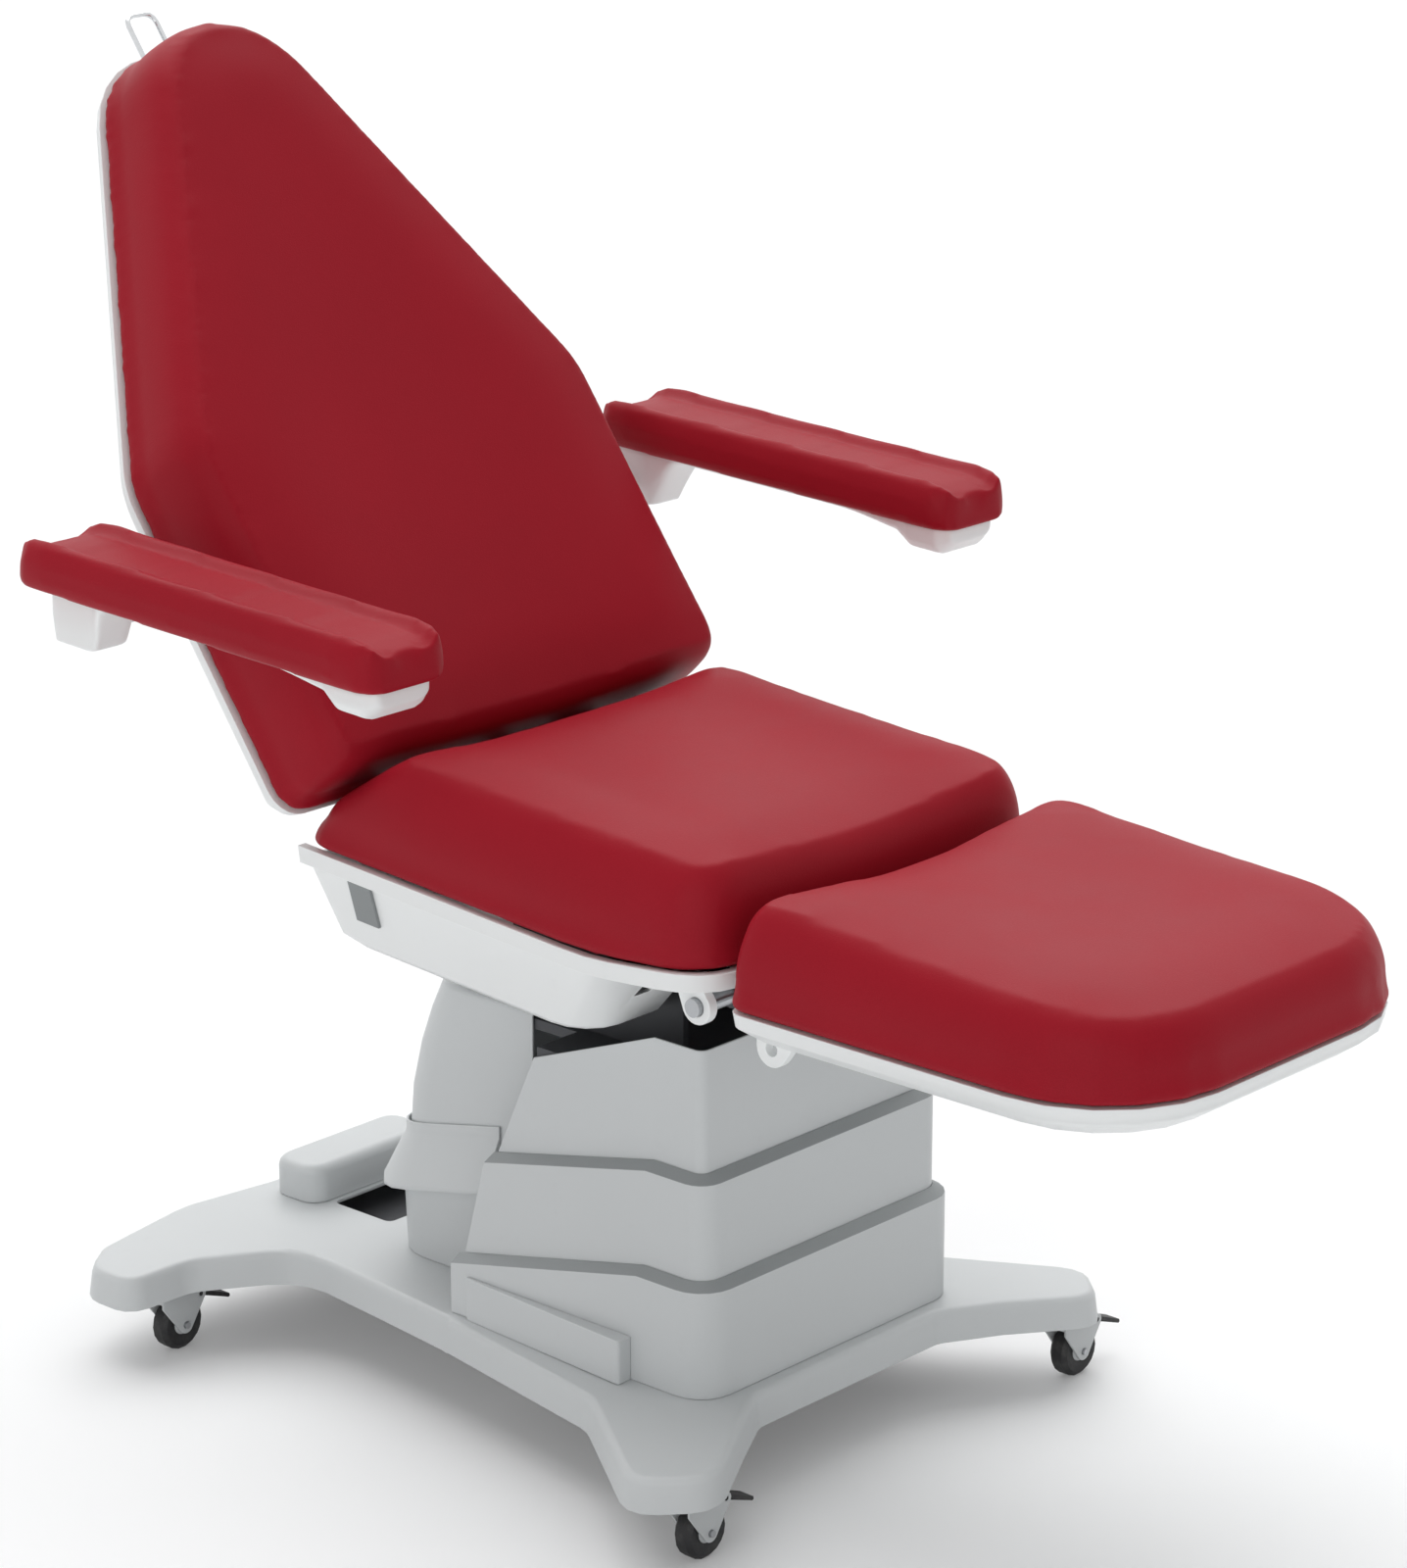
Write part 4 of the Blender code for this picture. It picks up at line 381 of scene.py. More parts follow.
@dataclass(frozen=True)
class Vinyl(Finish):
    """Coated upholstery fabric with a fine pebbled grain.

    Attributes:
        grain: Pebbles per metre.
        deep: Share of the colour in the grain's valleys.
        relief: Depth of the grain.
        sheen: Level of the shine seen straight on.
    """

    grain: float = 620.0
    deep: float = 0.86
    relief: float = 0.00022
    sheen: float = 0.09

    def paint(self, sheet: NodeSheet) -> None:
        """Pebbled bump, slow drift of colour and gloss.

        Args:
            sheet: The material's empty node tree.
        """
        place = sheet.place()
        drift = sheet.noise(place, 3.2, 3.0)
        rub = sheet.noise(place, 11.0, 4.0, 0.6)
        pebble = sheet.cells(place, self.grain)
        pores = sheet.noise(place, self.grain * 2.6, 2.0)
        height = pebble * 0.7 + pores * 0.3
        share = drift * 0.6 + rub * 0.25 + pebble * 0.3
        base = sheet.mix(share, scaled(self.colour, self.deep), scaled(self.colour, 2 - self.deep))
        sheet.surface({
            "Base Color": base,
            "Roughness": self.roughness + (drift - 0.5) * 0.14 + (rub - 0.5) * 0.10 - (pebble - 0.5) * 0.05,
            "Specular IOR Level": self.sheen,
            "Normal": sheet.bump(height, self.relief, 0.55),
        })


@dataclass(frozen=True)
class Moulded(Finish):
    """Moulded plastic with a fine spark texture, faint flow marks and dulled edges.

    Attributes:
        texture: Specks per metre.
        worn: Share of the colour along rubbed edges.
        relief: Depth of the texture.
        sheen: Level of the shine seen straight on.
    """

    texture: float = 1100.0
    worn: float = 1.06
    relief: float = 0.00012
    sheen: float = 0.45

    def paint(self, sheet: NodeSheet) -> None:
        """Fine texture, flow marks, scuffs and edge wear.

        Args:
            sheet: The material's empty node tree.
        """
        place = sheet.place()
        flow = sheet.noise(place, 2.6, 3.0)
        smear = sheet.noise(sheet.place((1.0, 1.0, 0.25)), 14.0, 4.0, 0.65)
        specks = sheet.noise(place, self.texture, 2.0, 0.6)
        scuff = (sheet.noise(place, 46.0, 5.0, 0.7) - 0.60).at_least(0.0) * 2.2
        wear = sheet.attribute("wear") * (0.35 + smear)
        base = sheet.mix(flow * 0.7 + smear * 0.3, scaled(self.colour, 0.965), scaled(self.colour, 1.03))
        dulled = sheet.mix(scuff.at_most(0.5) * 0.35, base, scaled(self.colour, 0.80))
        edged = sheet.mix(wear.at_most(0.8), dulled, scaled(self.colour, self.worn))
        sheet.surface({
            "Base Color": edged,
            "Roughness": self.roughness + (smear - 0.5) * 0.12 + scuff * 0.10 + wear * 0.08,
            "Specular IOR Level": self.sheen,
            "Normal": sheet.bump(specks * 0.6 + flow * 0.4, self.relief, 0.5),
        })


@dataclass(frozen=True)
class Metal(Finish):
    """Drawn or plated metal with fine marks along it.

    Attributes:
        metallic: One for bare metal, less for a powder coat.
        marks: Marks per metre.
        along: Stretch of the marks.
        relief: Depth of the marks.
    """

    metallic: float = 1.0
    marks: float = 300.0
    along: tuple[float, float, float] = (0.05, 1.0, 1.0)
    relief: float = 0.00006

    def paint(self, sheet: NodeSheet) -> None:
        """Drawn marks, cloudy tarnish and a little dirt.

        Args:
            sheet: The material's empty node tree.
        """
        drawn = sheet.noise(sheet.place(self.along), self.marks, 3.0, 0.6)
        cloud = sheet.noise(sheet.place(), 18.0, 4.0, 0.6)
        base = sheet.mix(drawn * 0.4 + cloud * 0.5, scaled(self.colour, 0.82), scaled(self.colour, 1.1))
        sheet.surface({
            "Base Color": base,
            "Metallic": self.metallic,
            "Roughness": self.roughness + (drawn - 0.5) * 0.10 + (cloud - 0.5) * 0.12,
            "Normal": sheet.bump(drawn, self.relief, 0.4),
        })


@dataclass(frozen=True)
class Rubber(Finish):
    """Black rubber and glass-filled plastic with floor dust on it.

    Attributes:
        dust: Colour of the dust.
        relief: Depth of the pits.
    """

    dust: Colour = (0.10, 0.098, 0.093, 1.0)
    relief: float = 0.00012

    def paint(self, sheet: NodeSheet) -> None:
        """Matt black with dusty patches and a pitted surface.

        Args:
            sheet: The material's empty node tree.
        """
        place = sheet.place()
        pits = sheet.noise(place, 900.0, 3.0, 0.6)
        patch = (sheet.noise(place, 60.0, 5.0, 0.65) - 0.48).at_least(0.0) * 1.6
        base = sheet.mix(patch.at_most(0.45), self.colour, self.dust)
        sheet.surface({
            "Base Color": base,
            "Roughness": self.roughness + patch * 0.2 - (pits - 0.5) * 0.1,
            "Normal": sheet.bump(pits, self.relief, 0.5),
        })


class Skin(Enum):
    """The chair's finishes, by the record's material slot."""

    RED_VINYL = Vinyl("red_vinyl", tone(152, 24, 38), 0.45)
    WHITE_PLASTIC = Moulded("white_plastic", tone(238, 240, 240), 0.40)
    # The white plastic made darker for the pedestal's covers, base and panels: painted shade of the seat above them.
    COVER_WHITE_PAINTED_SHADE = Moulded("cover_white_painted_shade", tone(204, 207, 208), 0.44)
    # Darker grey for the pedestal covers' shoulders: painted shade of the gaps between the tiers.
    SHOULDER_PAINTED_SHADE = Moulded("shoulder_painted_shade", tone(154, 158, 159), 0.55)
    SOCKET_GREY = Moulded("socket_grey", tone(134, 138, 139), 0.50)
    GREY_PLASTIC = Moulded("grey_plastic", tone(200, 203, 204), 0.46)
    DARK_PLASTIC = Moulded("dark_plastic", tone(62, 63, 65), 0.55, worn=1.25)
    BLACK_RUBBER = Rubber("black_rubber", tone(24, 24, 26), 0.62)
    DARK_STEEL = Metal("dark_steel", tone(74, 75, 78), 0.48, metallic=0.55, marks=120.0, along=(1.0, 1.0, 1.0))
    STEEL = Metal("steel", tone(176, 178, 181), 0.32)
    CHROME = Metal("chrome", tone(214, 216, 218), 0.14, marks=160.0)


class Model:
    """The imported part: its nodes, with their bodies, slots and materials."""

    def __init__(self) -> None:
        """Load the frame and dress every node in its slot's finish."""
        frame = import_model()
        record = frame["record"]
        self.nodes: dict[str, bpy.types.Object] = frame["nodes"]
        self.body_of = {node: body for body, nodes in record["behaviour"]["bodies"].items() for node in nodes}
        self.slot_of = {row["node"]: row["material_slot"] for row in record["subparts"]}
        self.materials = {skin.name.lower(): skin.value.material() for skin in Skin}
        for name, node in self.nodes.items():
            node.data.materials.clear()
            node.data.materials.append(self.materials[self.slot_of[name]])

    def copy(self, node: str) -> bmesh.types.BMesh:
        """Copy a node's mesh, with its loose triangles merged and its flat faces made whole.

        Args:
            node: Name of the node.

        Returns:
            The copy.
        """
        bm = bmesh.new()
        bm.from_mesh(self.nodes[node].data)
        bmesh.ops.remove_doubles(bm, verts=bm.verts, dist=MERGE)
        bmesh.ops.dissolve_limit(bm, angle_limit=FLAT, verts=bm.verts, edges=bm.edges)
        return bm

    def add(self, name: str, bm: bmesh.types.BMesh, node: str,
            skins: Sequence[Skin] = ()) -> bpy.types.Object:
        """Make a piece that stands for a node and moves with the node's body.

        Args:
            name: Name of the piece.
            bm: Its shape, freed here.
            node: The node that it replaces.
            skins: Finishes by the faces' material number, where they aren't the node's own.

        Returns:
            The piece.
        """
        mesh = bpy.data.meshes.new(name)
        bm.to_mesh(mesh)
        bm.free()
        piece = bpy.data.objects.new(name, mesh)
        bpy.context.scene.collection.objects.link(piece)
        slot = self.slot_of[node]
        for finish in [skin.name.lower() for skin in skins] or [slot]:
            mesh.materials.append(self.materials[finish])
        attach(piece, self.body_of[node])
        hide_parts(node)
        return piece


@dataclass
class Cushion:
    """A foam pad in a pulled vinyl cover.

    Attributes:
        node: The CAD solid that it stands for.
        lean: Angle of its underside about X, from lying flat.
        voxel: Size of the cover's mesh before it is subdivided.
        ease: How far the cover starts inside the solid.
        crown: How far the top is raised, for what softening takes off it.
        cap: Furthest that filling may push a point.
        passes: Rounds of smoothing of the foam.
        calm: Rounds of smoothing of the points' travel.
        soft: Rounds of softening of the upper edges.
        level: Rounds of evening out of the top.
        foot: Height above the underside up to which the foam keeps its edge.
        spread: How far the foot is let out towards the shell's rim.
        lap: How much further it laps over the rim at the lower end.
        pressure: Pressure in the cover.
        stretch: The cover's stiffness against pull and push.
        bend: Its stiffness against bending.
        fill: How tight the pad is; not used.
        frames: Steps of the simulation.
        band: How far the underside's points may lie off its fitted line.
        firm: How freely the foot follows its neighbours, where the rest has 1.
        shoulder: Share of the height where softening of the upper edges starts; it is full at twice that share.
    """

    node: str
    lean: float
    voxel: float = 0.0075
    ease: float = 0.003
    crown: float = 0.008
    cap: float = 0.007
    passes: int = 32
    calm: int = 40
    soft: int = 45
    level: int = 140
    foot: float = 0.030
    spread: float = 0.005
    lap: float = 0.0
    pressure: float = 4.0
    stretch: float = 20.0
    bend: float = 4.0
    fill: float = 0.7
    frames: int = 20
    band: float = 0.006
    firm: float = 0.4
    shoulder: float = 0.35

    def rise(self) -> Vector:
        """Direction from the underside to the top."""
        return Matrix.Rotation(self.lean, 3, "X") @ UP

    def build(self, model: Model) -> bpy.types.Object:
        """Shape, fill and dress the pad.

        Args:
            model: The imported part.

        Returns:
            The finished piece.
        """
        bm = self.foam(model)
        start = places_of(bm)
        for vert, place in zip(bm.verts, self.filled(bm)):
            vert.co = place
        moved = np.linalg.norm(places_of(bm) - start, axis=1)
        LOG.info("%s: %d points, mean move %.1f mm, most %.1f mm", self.node, len(start),
                 1000 * moved.mean(), 1000 * moved.max())
        smooth_faces(bm)
        piece = model.add(f"{self.node}_cover", bm, self.node)
        self.dress(piece)
        return piece

    def heights(self, bm: bmesh.types.BMesh) -> np.ndarray:
        """Measure each point's height above the underside, which may be curved along its length.

        Args:
            bm: The pad's shape.

        Returns:
            One height per point.
        """
        rise = self.rise()
        bm.normal_update()
        levels = np.array([vert.co.dot(rise) for vert in bm.verts])
        along = np.array([vert.co.y for vert in bm.verts])
        under = np.array([vert.normal.dot(rise) < UNDER_FACING for vert in bm.verts])
        for _ in range(2):
            line = np.polyfit(along[under], levels[under], deg=4)
            under &= np.abs(levels - np.polyval(line, along)) < self.band
        return np.maximum(levels - np.polyval(line, along), 0.0)

    def foam(self, model: Model) -> bmesh.types.BMesh:
        """Remesh the solid evenly, round its upper edges and draw it in a little.

        Args:
            model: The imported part.

        Returns:
            The foam's shape.
        """
        bm = evened(model.copy(self.node), self.voxel)
        heights = self.heights(bm)
        free = np.clip((heights - FOOT_FREE * self.foot) / ((1.0 - FOOT_FREE) * self.foot), 0.0, 1.0)
        rounded(bm, self.passes, self.firm + (1.0 - self.firm) * free)
        upper = np.clip((heights / heights.max() - self.shoulder) / self.shoulder, 0.0, 1.0)
        rounded(bm, self.soft, upper, back=0.5)
        self.shape_top(bm)
        self.level_top(bm)
        self.pull_cover(bm, free, heights)
        return bm

    def shape_top(self, bm: bmesh.types.BMesh) -> None:
        """Change the top's form, for the kinds that need it."""

    def level_top(self, bm: bmesh.types.BMesh) -> None:
        """Even out the top along the rise, so that no waves of the mesh are left in it.

        Args:
            bm: The rounded foam.
        """
        rise = self.rise()
        levels = np.array([[vert.co.dot(rise)] for vert in bm.verts])
        top = np.array([[vert.normal.dot(rise) > TOP_FACING] for vert in bm.verts])
        pairs = joined(bm)
        even = levels.copy()
        for _ in range(self.level):
            even = np.where(top, 0.5 * (even + averaged(even, pairs)), even)
        for vert, step in zip(bm.verts, (even - levels)[:, 0]):
            vert.co += rise * step
        bm.normal_update()

    def pull_cover(self, bm: bmesh.types.BMesh, free: np.ndarray, heights: np.ndarray) -> None:
        """Raise the top, draw the sides in and let the foot out to the shell's rim.

        Args:
            bm: The levelled foam.
            free: How far each point is drawn in, from 0 to 1.
            heights: Each point's height above the underside.
        """
        rise = self.rise()
        along = rise.cross(Vector((1.0, 0.0, 0.0)))
        for vert, share, height in zip(bm.verts, free, heights):
            aside = vert.normal - rise * vert.normal.dot(rise)
            vert.co += rise * self.crown * max(0.0, vert.normal.dot(rise)) - vert.normal * self.ease * share
            let_out = self.spread + self.lap * max(0.0, -aside.dot(along))
            vert.co += aside * let_out * max(0.0, 1.0 - height / (FOOT_OUT * self.foot))

    def filled(self, bm: bmesh.types.BMesh) -> np.ndarray:
        """Fill the cover under pressure, with each point's travel capped and evened out.

        Args:
            bm: The foam's shape.

        Returns:
            The points' places.
        """
        scene = bpy.context.scene
        heights = self.heights(bm)
        mesh = bpy.data.meshes.new(f"{self.node}_slack")
        bm.to_mesh(mesh)
        slack = bpy.data.objects.new(f"{self.node}_slack", mesh)
        scene.collection.objects.link(slack)
        group = slack.vertex_groups.new(name="held")
        group.add([i for i, height in enumerate(heights) if height < FOOT_HELD * self.foot], 1.0, "REPLACE")
        cloth = slack.modifiers.new("cover", "CLOTH")
        settings = cloth.settings
        settings.vertex_group_mass = "held"
        settings.use_pressure = True
        settings.uniform_pressure_force = self.pressure
        settings.effector_weights.gravity = 0.0
        settings.tension_stiffness = settings.compression_stiffness = self.stretch
        settings.bending_stiffness = self.bend
        cloth.collision_settings.use_collision = False
        cloth.collision_settings.use_self_collision = False
        cloth.point_cache.frame_start = 1
        cloth.point_cache.frame_end = self.frames
        for frame in range(1, self.frames + 1):
            scene.frame_set(frame)
        shown = slack.evaluated_get(bpy.context.evaluated_depsgraph_get())
        old = places_of(bm)
        steps = np.array([vert.co for vert in shown.to_mesh().vertices]) - old
        shown.to_mesh_clear()
        bpy.data.objects.remove(slack)
        scene.frame_set(1)
        lengths = np.linalg.norm(steps, axis=1)[:, None]
        steps *= np.minimum(1.0, self.cap / np.maximum(lengths, 1e-9))
        pairs = joined(bm)
        for _ in range(self.calm):
            steps = averaged(steps, pairs)
        return old + steps * np.clip(heights / self.foot, 0.0, 1.0)[:, None]

    def dress(self, piece: bpy.types.Object) -> None:
        """Args:
            piece: The filled cover.
        """
        refine = piece.modifiers.new("refine", "SUBSURF")
        refine.levels = refine.render_levels = 1


@dataclass
class ArmPad(Cushion):
    """An arm pad with a broad shallow trough along its top.

    Attributes:
        depth: Depth of the trough.
        floor: Half the trough's flat floor, as a share of the pad's half width.
        rim: Where the trough's sides reach the rims.
        stations: Places along the pad where the rims' height is read.
        upper: Share of the height above which a point may belong to the top.
        facing: Least share of the rise in its normal there.
    """

    lean: float = math.radians(2.5)
    voxel: float = 0.005
    ease: float = 0.001
    crown: float = 0.0
    cap: float = 0.003
    passes: int = 6
    soft: int = 0
    level: int = 0
    foot: float = 0.014
    spread: float = 0.001
    depth: float = 0.010
    floor: float = 0.46
    rim: float = 0.78
    stations: int = 90
    upper: float = 0.45
    facing: float = 0.2

    def shape_top(self, bm: bmesh.types.BMesh) -> None:
        """Turn the solid's narrow groove into the broad trough.

        Args:
            bm: The rounded foam.
        """
        rise = self.rise()
        heights = self.heights(bm)
        points = places_of(bm)
        middle = (points[:, 0].min() + points[:, 0].max()) / 2
        sides = np.abs(points[:, 0] - middle) / (points[:, 0].max() - middle)
        steps = np.linspace(points[:, 1].min(), points[:, 1].max(), self.stations)
        reach = 1.5 * (steps[1] - steps[0])
        rims = np.interp(points[:, 1], steps, [heights[np.abs(points[:, 1] - step) < reach].max() for step in steps])
        for vert, side, height, rim in zip(bm.verts, sides, heights, rims):
            if side < self.rim and height > self.upper * heights.max() and vert.normal.dot(rise) > self.facing:
                vert.co += rise * (rim - self.depth * (1.0 - eased(side, self.floor, self.rim)) - height)
        bm.normal_update()
        rounded(bm, 3 * self.passes, np.clip(heights / self.foot - 0.5, 0.0, 1.0))


@dataclass
class Mouldings:
    """Rigid pieces with their sharp edges eased, for a set of nodes with one edge size.

    Attributes:
        nodes: The CAD solids.
        edge: Width of the eased edge.
        skins: Finishes by material number, where they aren't the node's own.
        sharp: Angle past which an edge is eased.
        shade: Angle past which shading breaks.
    """

    nodes: Sequence[str]
    edge: float = 0.0012
    skins: Sequence[Skin] = ()
    sharp: float = math.radians(48)
    shade: float = math.radians(38)

    def build(self, model: Model) -> list[bpy.types.Object]:
        """Ease the edges of each node's copy.

        Args:
            model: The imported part.

        Returns:
            The pieces.
        """
        pieces = []
        for node in self.nodes:
            bm = model.copy(node)
            worn = bm.faces.layers.float.new("wear")
            sharp = [edge for edge in bm.edges if len(edge.link_faces) == 2
                     and edge.calc_face_angle(0.0) > self.sharp and edge.calc_length() > 2.5 * self.edge]
            soft = bmesh.ops.bevel(bm, geom=sharp, offset=self.edge, offset_type="OFFSET", affect="EDGES",
                                   segments=2, profile=0.5, material=-1, clamp_overlap=False, loop_slide=True)
            for face in soft["faces"]:
                face[worn] = 1.0
            smooth_faces(bm)
            self.sort_faces(bm)
            piece = model.add(f"{node}_moulding", bm, node, self.skins)
            piece.data.set_sharp_from_angle(angle=self.shade)
            self.dress(piece)
            pieces.append(piece)
            LOG.info("%s: %d faces, %d edges eased", piece.name, len(piece.data.polygons), len(sharp))
        return pieces

    def sort_faces(self, bm: bmesh.types.BMesh) -> None:
        """Give all faces the first finish; kinds with several finishes sort theirs."""
        for face in bm.faces:
            face.material_index = 0

    @staticmethod
    def dress(piece: bpy.types.Object) -> None:
        """Keep the broad faces flat in their shading."""
        even = piece.modifiers.new("even_shading", "WEIGHTED_NORMAL")
        even.keep_sharp = True


@dataclass
class PedestalCovers(Mouldings):
    """Telescoping pedestal covers in the white plastic darkened as painted shade, with a darker grey painted along
    each sloping shoulder as the shade of the gap between the tiers.

    Attributes:
        slope: Least upward share of a shoulder's normal.
    """

    skins: Sequence[Skin] = (Skin.COVER_WHITE_PAINTED_SHADE, Skin.SHOULDER_PAINTED_SHADE)
    slope: float = 0.30

    def sort_faces(self, bm: bmesh.types.BMesh) -> None:
        """Give the sloping shoulders the darker grey of painted shade.

        Args:
            bm: The cover.
        """
        bm.normal_update()
        for face in bm.faces:
            # Faces that slope upwards get the painted shade of the gap between the tiers.
            face.material_index = 1 if face.normal.z > self.slope else 0


@dataclass
class ArmCarrier:
    """A moulded carrier under an arm pad: a nose, a low rail and a boss round the shaft.

    Attributes:
        node: The CAD solid.
        lean: Slope of its top about X.
        voxel: Size of its mesh.
        passes: Rounds of smoothing.
        nose: Share of the solid's depth that the nose keeps.
        rail: Share of it that the rail keeps.
        nose_ends: Where along the carrier the nose starts to thin into the rail, and where it ends.
        boss_starts: Where the rail starts to grow into the boss, and where the boss is full.
        boss: Shares of the boss's outer and inner half width.
        reach: How far down the boss reaches.
    """

    node: str
    lean: float = math.radians(2.5)
    voxel: float = 0.003
    passes: int = 40
    nose: float = 0.74
    rail: float = 0.33
    nose_ends: tuple[float, float] = (0.08, 0.34)
    boss_starts: tuple[float, float] = (0.80, 0.88)
    boss: tuple[float, float] = (0.34, 0.90)
    reach: float = 0.067

    def build(self, model: Model) -> bpy.types.Object:
        """Shape the carrier from its solid.

        Args:
            model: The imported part.

        Returns:
            The finished piece.
        """
        bm = evened(model.copy(self.node), self.voxel)
        rise = Matrix.Rotation(self.lean, 3, "X") @ UP
        along = [vert.co.y for vert in bm.verts]
        front, length = min(along), max(along) - min(along)
        middle = sum((min(v.co.x for v in bm.verts), max(v.co.x for v in bm.verts))) / 2
        top = max(vert.co.dot(rise) for vert in bm.verts)
        for vert in bm.verts:
            place = (vert.co.y - front) / length
            rear = eased(place, *self.boss_starts)
            depth = self.nose + (self.rail - self.nose) * eased(place, *self.nose_ends)
            down = top - vert.co.dot(rise)
            vert.co += rise * (down - min(self.reach, down * (depth + (1.0 - depth) * rear)))
            outward = (vert.co.x - middle) * middle > 0.0
            kept = 1.0 + (self.boss[0 if outward else 1] - 1.0) * rear
            vert.co.x = middle + (vert.co.x - middle) * kept
        rounded(bm, self.passes, np.ones(len(bm.verts)))
        smooth_faces(bm)
        piece = model.add(f"{self.node}_moulding", bm, self.node)
        LOG.info("%s: %d faces", piece.name, len(piece.data.polygons))
        return piece


@dataclass
class CastorWheels(Mouldings):
    """Castor wheels with a rubber tyre on a pale hub.

    Attributes:
        hub: Radius of the hub, as a share of the wheel's.
    """

    skins: Sequence[Skin] = (Skin.BLACK_RUBBER, Skin.GREY_PLASTIC)
    hub: float = 0.40

    def sort_faces(self, bm: bmesh.types.BMesh) -> None:
        """Give the faces near the axle the hub's finish.

        Args:
            bm: The wheel.
        """
        points = places_of(bm)
        points -= (points.min(axis=0) + points.max(axis=0)) / 2
        axle = np.linalg.eigh(points.T @ points)[1][:, 0]
        radii = np.linalg.norm(points - np.outer(points @ axle, axle), axis=1)
        bm.verts.index_update()
        for face in bm.faces:
            nearest = min(radii[vert.index] for vert in face.verts)
            face.material_index = 1 if nearest < self.hub * radii.max() else 0


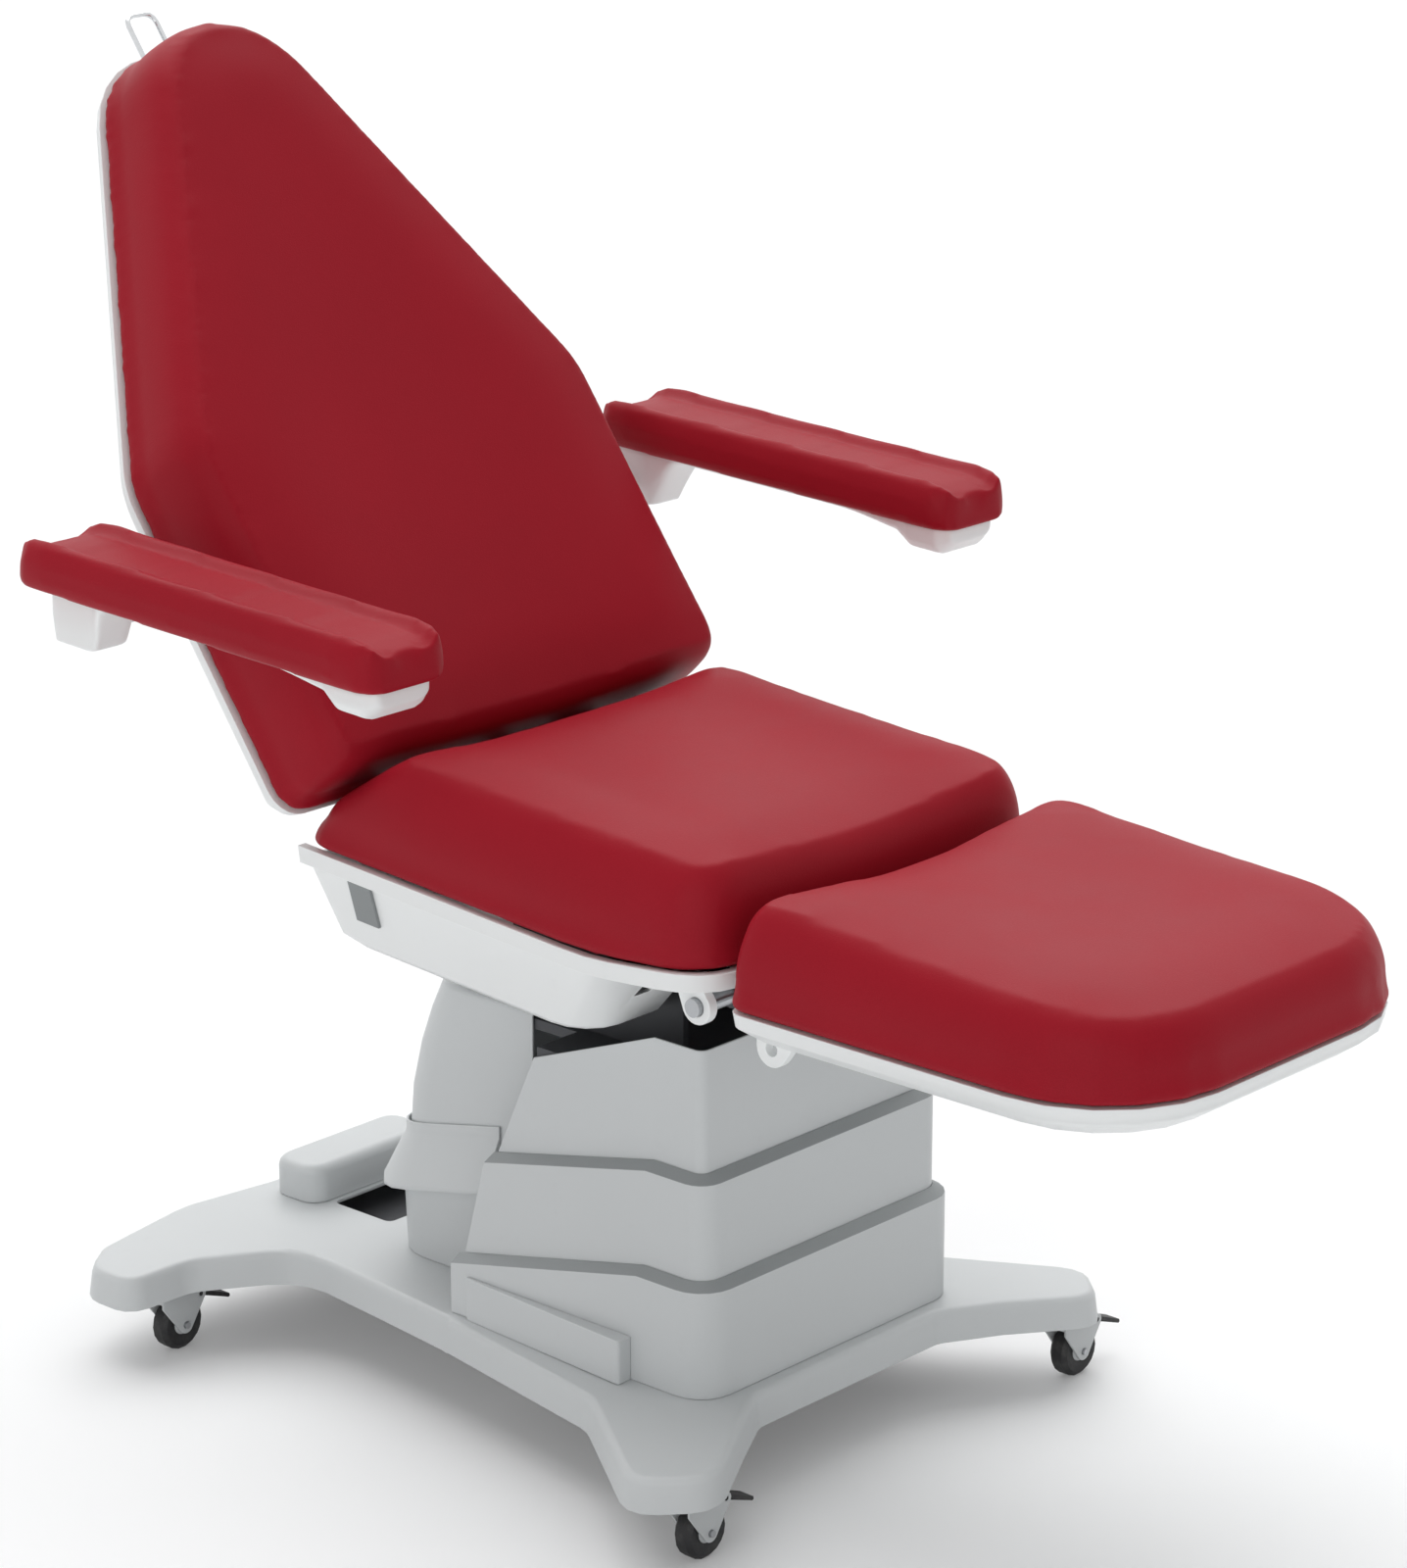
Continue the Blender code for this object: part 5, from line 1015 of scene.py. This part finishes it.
@dataclass
class Studio:
    """Pale floor, soft light and the camera.

    Attributes:
        floor_half: Half the floor's side.
        floor_tone: Colour of the floor.
        lift: White that the camera sees added to the floor.
        sky: Strength of the light from all round.
        sun: Strength of the overhead light.
        sun_along: The way that it shines.
        sun_spread: How broad it looks from the chair.
        fill: Strength of the light from the side.
        fill_along: The way that it shines.
        fill_spread: How broad it looks from the chair.
        camera_at: Where the camera stands.
        camera_turn: Its rotation.
        lens: Its focal length on a 24 mm high sensor.
    """

    floor_half: float = 60.0
    floor_tone: Colour = (0.85, 0.855, 0.86, 1.0)
    lift: float = 0.13
    sky: float = 0.35
    sun: float = 2.4
    sun_along: tuple[float, float, float] = (-0.26, -0.36, -0.895)
    sun_spread: float = math.radians(75)
    fill: float = 0.85
    fill_along: tuple[float, float, float] = (0.90, 0.38, -0.12)
    fill_spread: float = math.radians(60)
    camera_at: tuple[float, float, float] = (-3.75433, -3.46075, 2.28137)
    camera_turn: tuple[float, float, float] = (math.radians(72.9), 0.0, math.radians(-47.9))
    lens: float = 75.0

    def build(self) -> None:
        """Set up floor, world, lamp and camera."""
        bpy.context.scene.view_settings.view_transform = "Standard"
        self.floor()
        self.world()
        self.lamp("overhead", self.sun, self.sun_along, self.sun_spread)
        self.lamp("side", self.fill, self.fill_along, self.fill_spread)
        self.camera()

    @staticmethod
    def seen(sheet: NodeSheet) -> Signal:
        """Tell rays that show the background itself from those that carry its light.

        Args:
            sheet: The node tree that asks.

        Returns:
            One for the first kind, zero for the second.
        """
        path = sheet.node("ShaderNodeLightPath", {}, {})
        camera, glossy, through = (Signal(sheet, path.outputs[name]) for name in
                                   ("Is Camera Ray", "Is Glossy Ray", "Is Transmission Ray"))
        return camera.at_least(glossy).at_least(through)

    def floor(self) -> None:
        """A wide pale floor that keeps the shadow."""
        bm = bmesh.new()
        bmesh.ops.create_grid(bm, x_segments=2, y_segments=2, size=self.floor_half)
        mesh = bpy.data.meshes.new("studio_floor")
        bm.to_mesh(mesh)
        bm.free()
        floor = bpy.data.objects.new("studio_floor", mesh)
        bpy.context.scene.collection.objects.link(floor)
        material = bpy.data.materials.new("studio_floor")
        sheet = NodeSheet(material)
        matt = sheet.node("ShaderNodeBsdfDiffuse", {}, {"Color": self.floor_tone})
        white = sheet.node("ShaderNodeEmission", {}, {"Color": WHITE, "Strength": self.seen(sheet) * self.lift})
        both = sheet.node("ShaderNodeAddShader", {}, {0: matt.outputs[0], 1: white.outputs[0]})
        sheet.node("ShaderNodeOutputMaterial", {}, {"Surface": both.outputs[0]})
        mesh.materials.append(material)

    def world(self) -> None:
        """Light from all round, with a white background where it is seen."""
        world = bpy.data.worlds.new("studio")
        bpy.context.scene.world = world
        sheet = NodeSheet(world)
        light = sheet.node("ShaderNodeBackground", {}, {"Color": WHITE, "Strength": self.sky})
        white = sheet.node("ShaderNodeBackground", {}, {"Color": WHITE, "Strength": 1.0})
        both = sheet.node("ShaderNodeMixShader", {}, {0: self.seen(sheet), 1: light.outputs[0],
                                                      2: white.outputs[0]})
        sheet.node("ShaderNodeOutputWorld", {}, {"Surface": both.outputs[0]})

    @staticmethod
    def lamp(name: str, strength: float, along: tuple[float, float, float], spread: float) -> None:
        """Add one broad soft light.

        Args:
            name: Name of the lamp.
            strength: Its strength.
            along: The way that it shines.
            spread: How broad it looks from the chair.
        """
        data = bpy.data.lights.new(name, "SUN")
        data.energy = strength
        data.angle = spread
        lamp = bpy.data.objects.new(name, data)
        lamp.rotation_euler = Vector(along).to_track_quat("-Z", "Y").to_euler()
        bpy.context.scene.collection.objects.link(lamp)

    def camera(self) -> None:
        """The photograph's point of view."""
        data = bpy.data.cameras.new("camera")
        data.sensor_fit = "VERTICAL"
        data.sensor_height = 24.0
        data.lens = self.lens
        data.clip_end = 200.0
        camera = bpy.data.objects.new("camera", data)
        camera.location = self.camera_at
        camera.rotation_euler = self.camera_turn
        bpy.context.scene.collection.objects.link(camera)
        bpy.context.scene.camera = camera


def main() -> None:
    """Load the part, dress its sub-assemblies and set the stage."""
    logging.basicConfig(level=logging.INFO, format="%(message)s")
    model = Model()
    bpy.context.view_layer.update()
    Studio().build()
    castors = ("front_right", "front_left", "rear_right", "rear_left")
    # The covers, base and panels take the white plastic darkened as painted shade.
    grey = (Skin.COVER_WHITE_PAINTED_SHADE,)
    for assembly in (
            Mouldings(("base_cover", "control_box"), edge=0.0015, skins=grey),
            Mouldings(("upper_cover", "rear_upper_cover", "rear_lower_cover"), edge=0.0010, skins=grey),
            PedestalCovers(("lower_cover", "middle_cover"), edge=0.0010),
            Mouldings(("seat_shell", "backrest_shell", "legrest_shell"), edge=0.0010),
            ArmCarrier("arm_carrier_right"),
            ArmCarrier("arm_carrier_left"),
            Mouldings(("legrest_bumper_right", "legrest_bumper_left"), edge=0.0008),
            Mouldings(("side_panel_right", "side_panel_left"), edge=0.0010, skins=grey),
            Mouldings(("side_socket_right", "side_socket_left"), edge=0.0005, skins=(Skin.SOCKET_GREY,)),
            Mouldings([f"fork_{place}" for place in castors], edge=0.0003),
            Mouldings([f"pedal_{place}" for place in castors], edge=0.0006),
            CastorWheels([f"wheel_{place}" for place in castors], edge=0.0006),
            Mouldings(("top_loop",), edge=0.0003),
            Cushion("seat_cushion", lean=math.radians(4)),
            Cushion("backrest_cushion", lean=math.radians(54), voxel=0.0085, passes=70, soft=25, crown=0.006,
                    spread=0.007, lap=0.009),
            Cushion("legrest_cushion", lean=0.0),
            ArmPad("arm_pad_right"),
            ArmPad("arm_pad_left")):
        assembly.build(model)


if __name__ == "__main__":
    main()
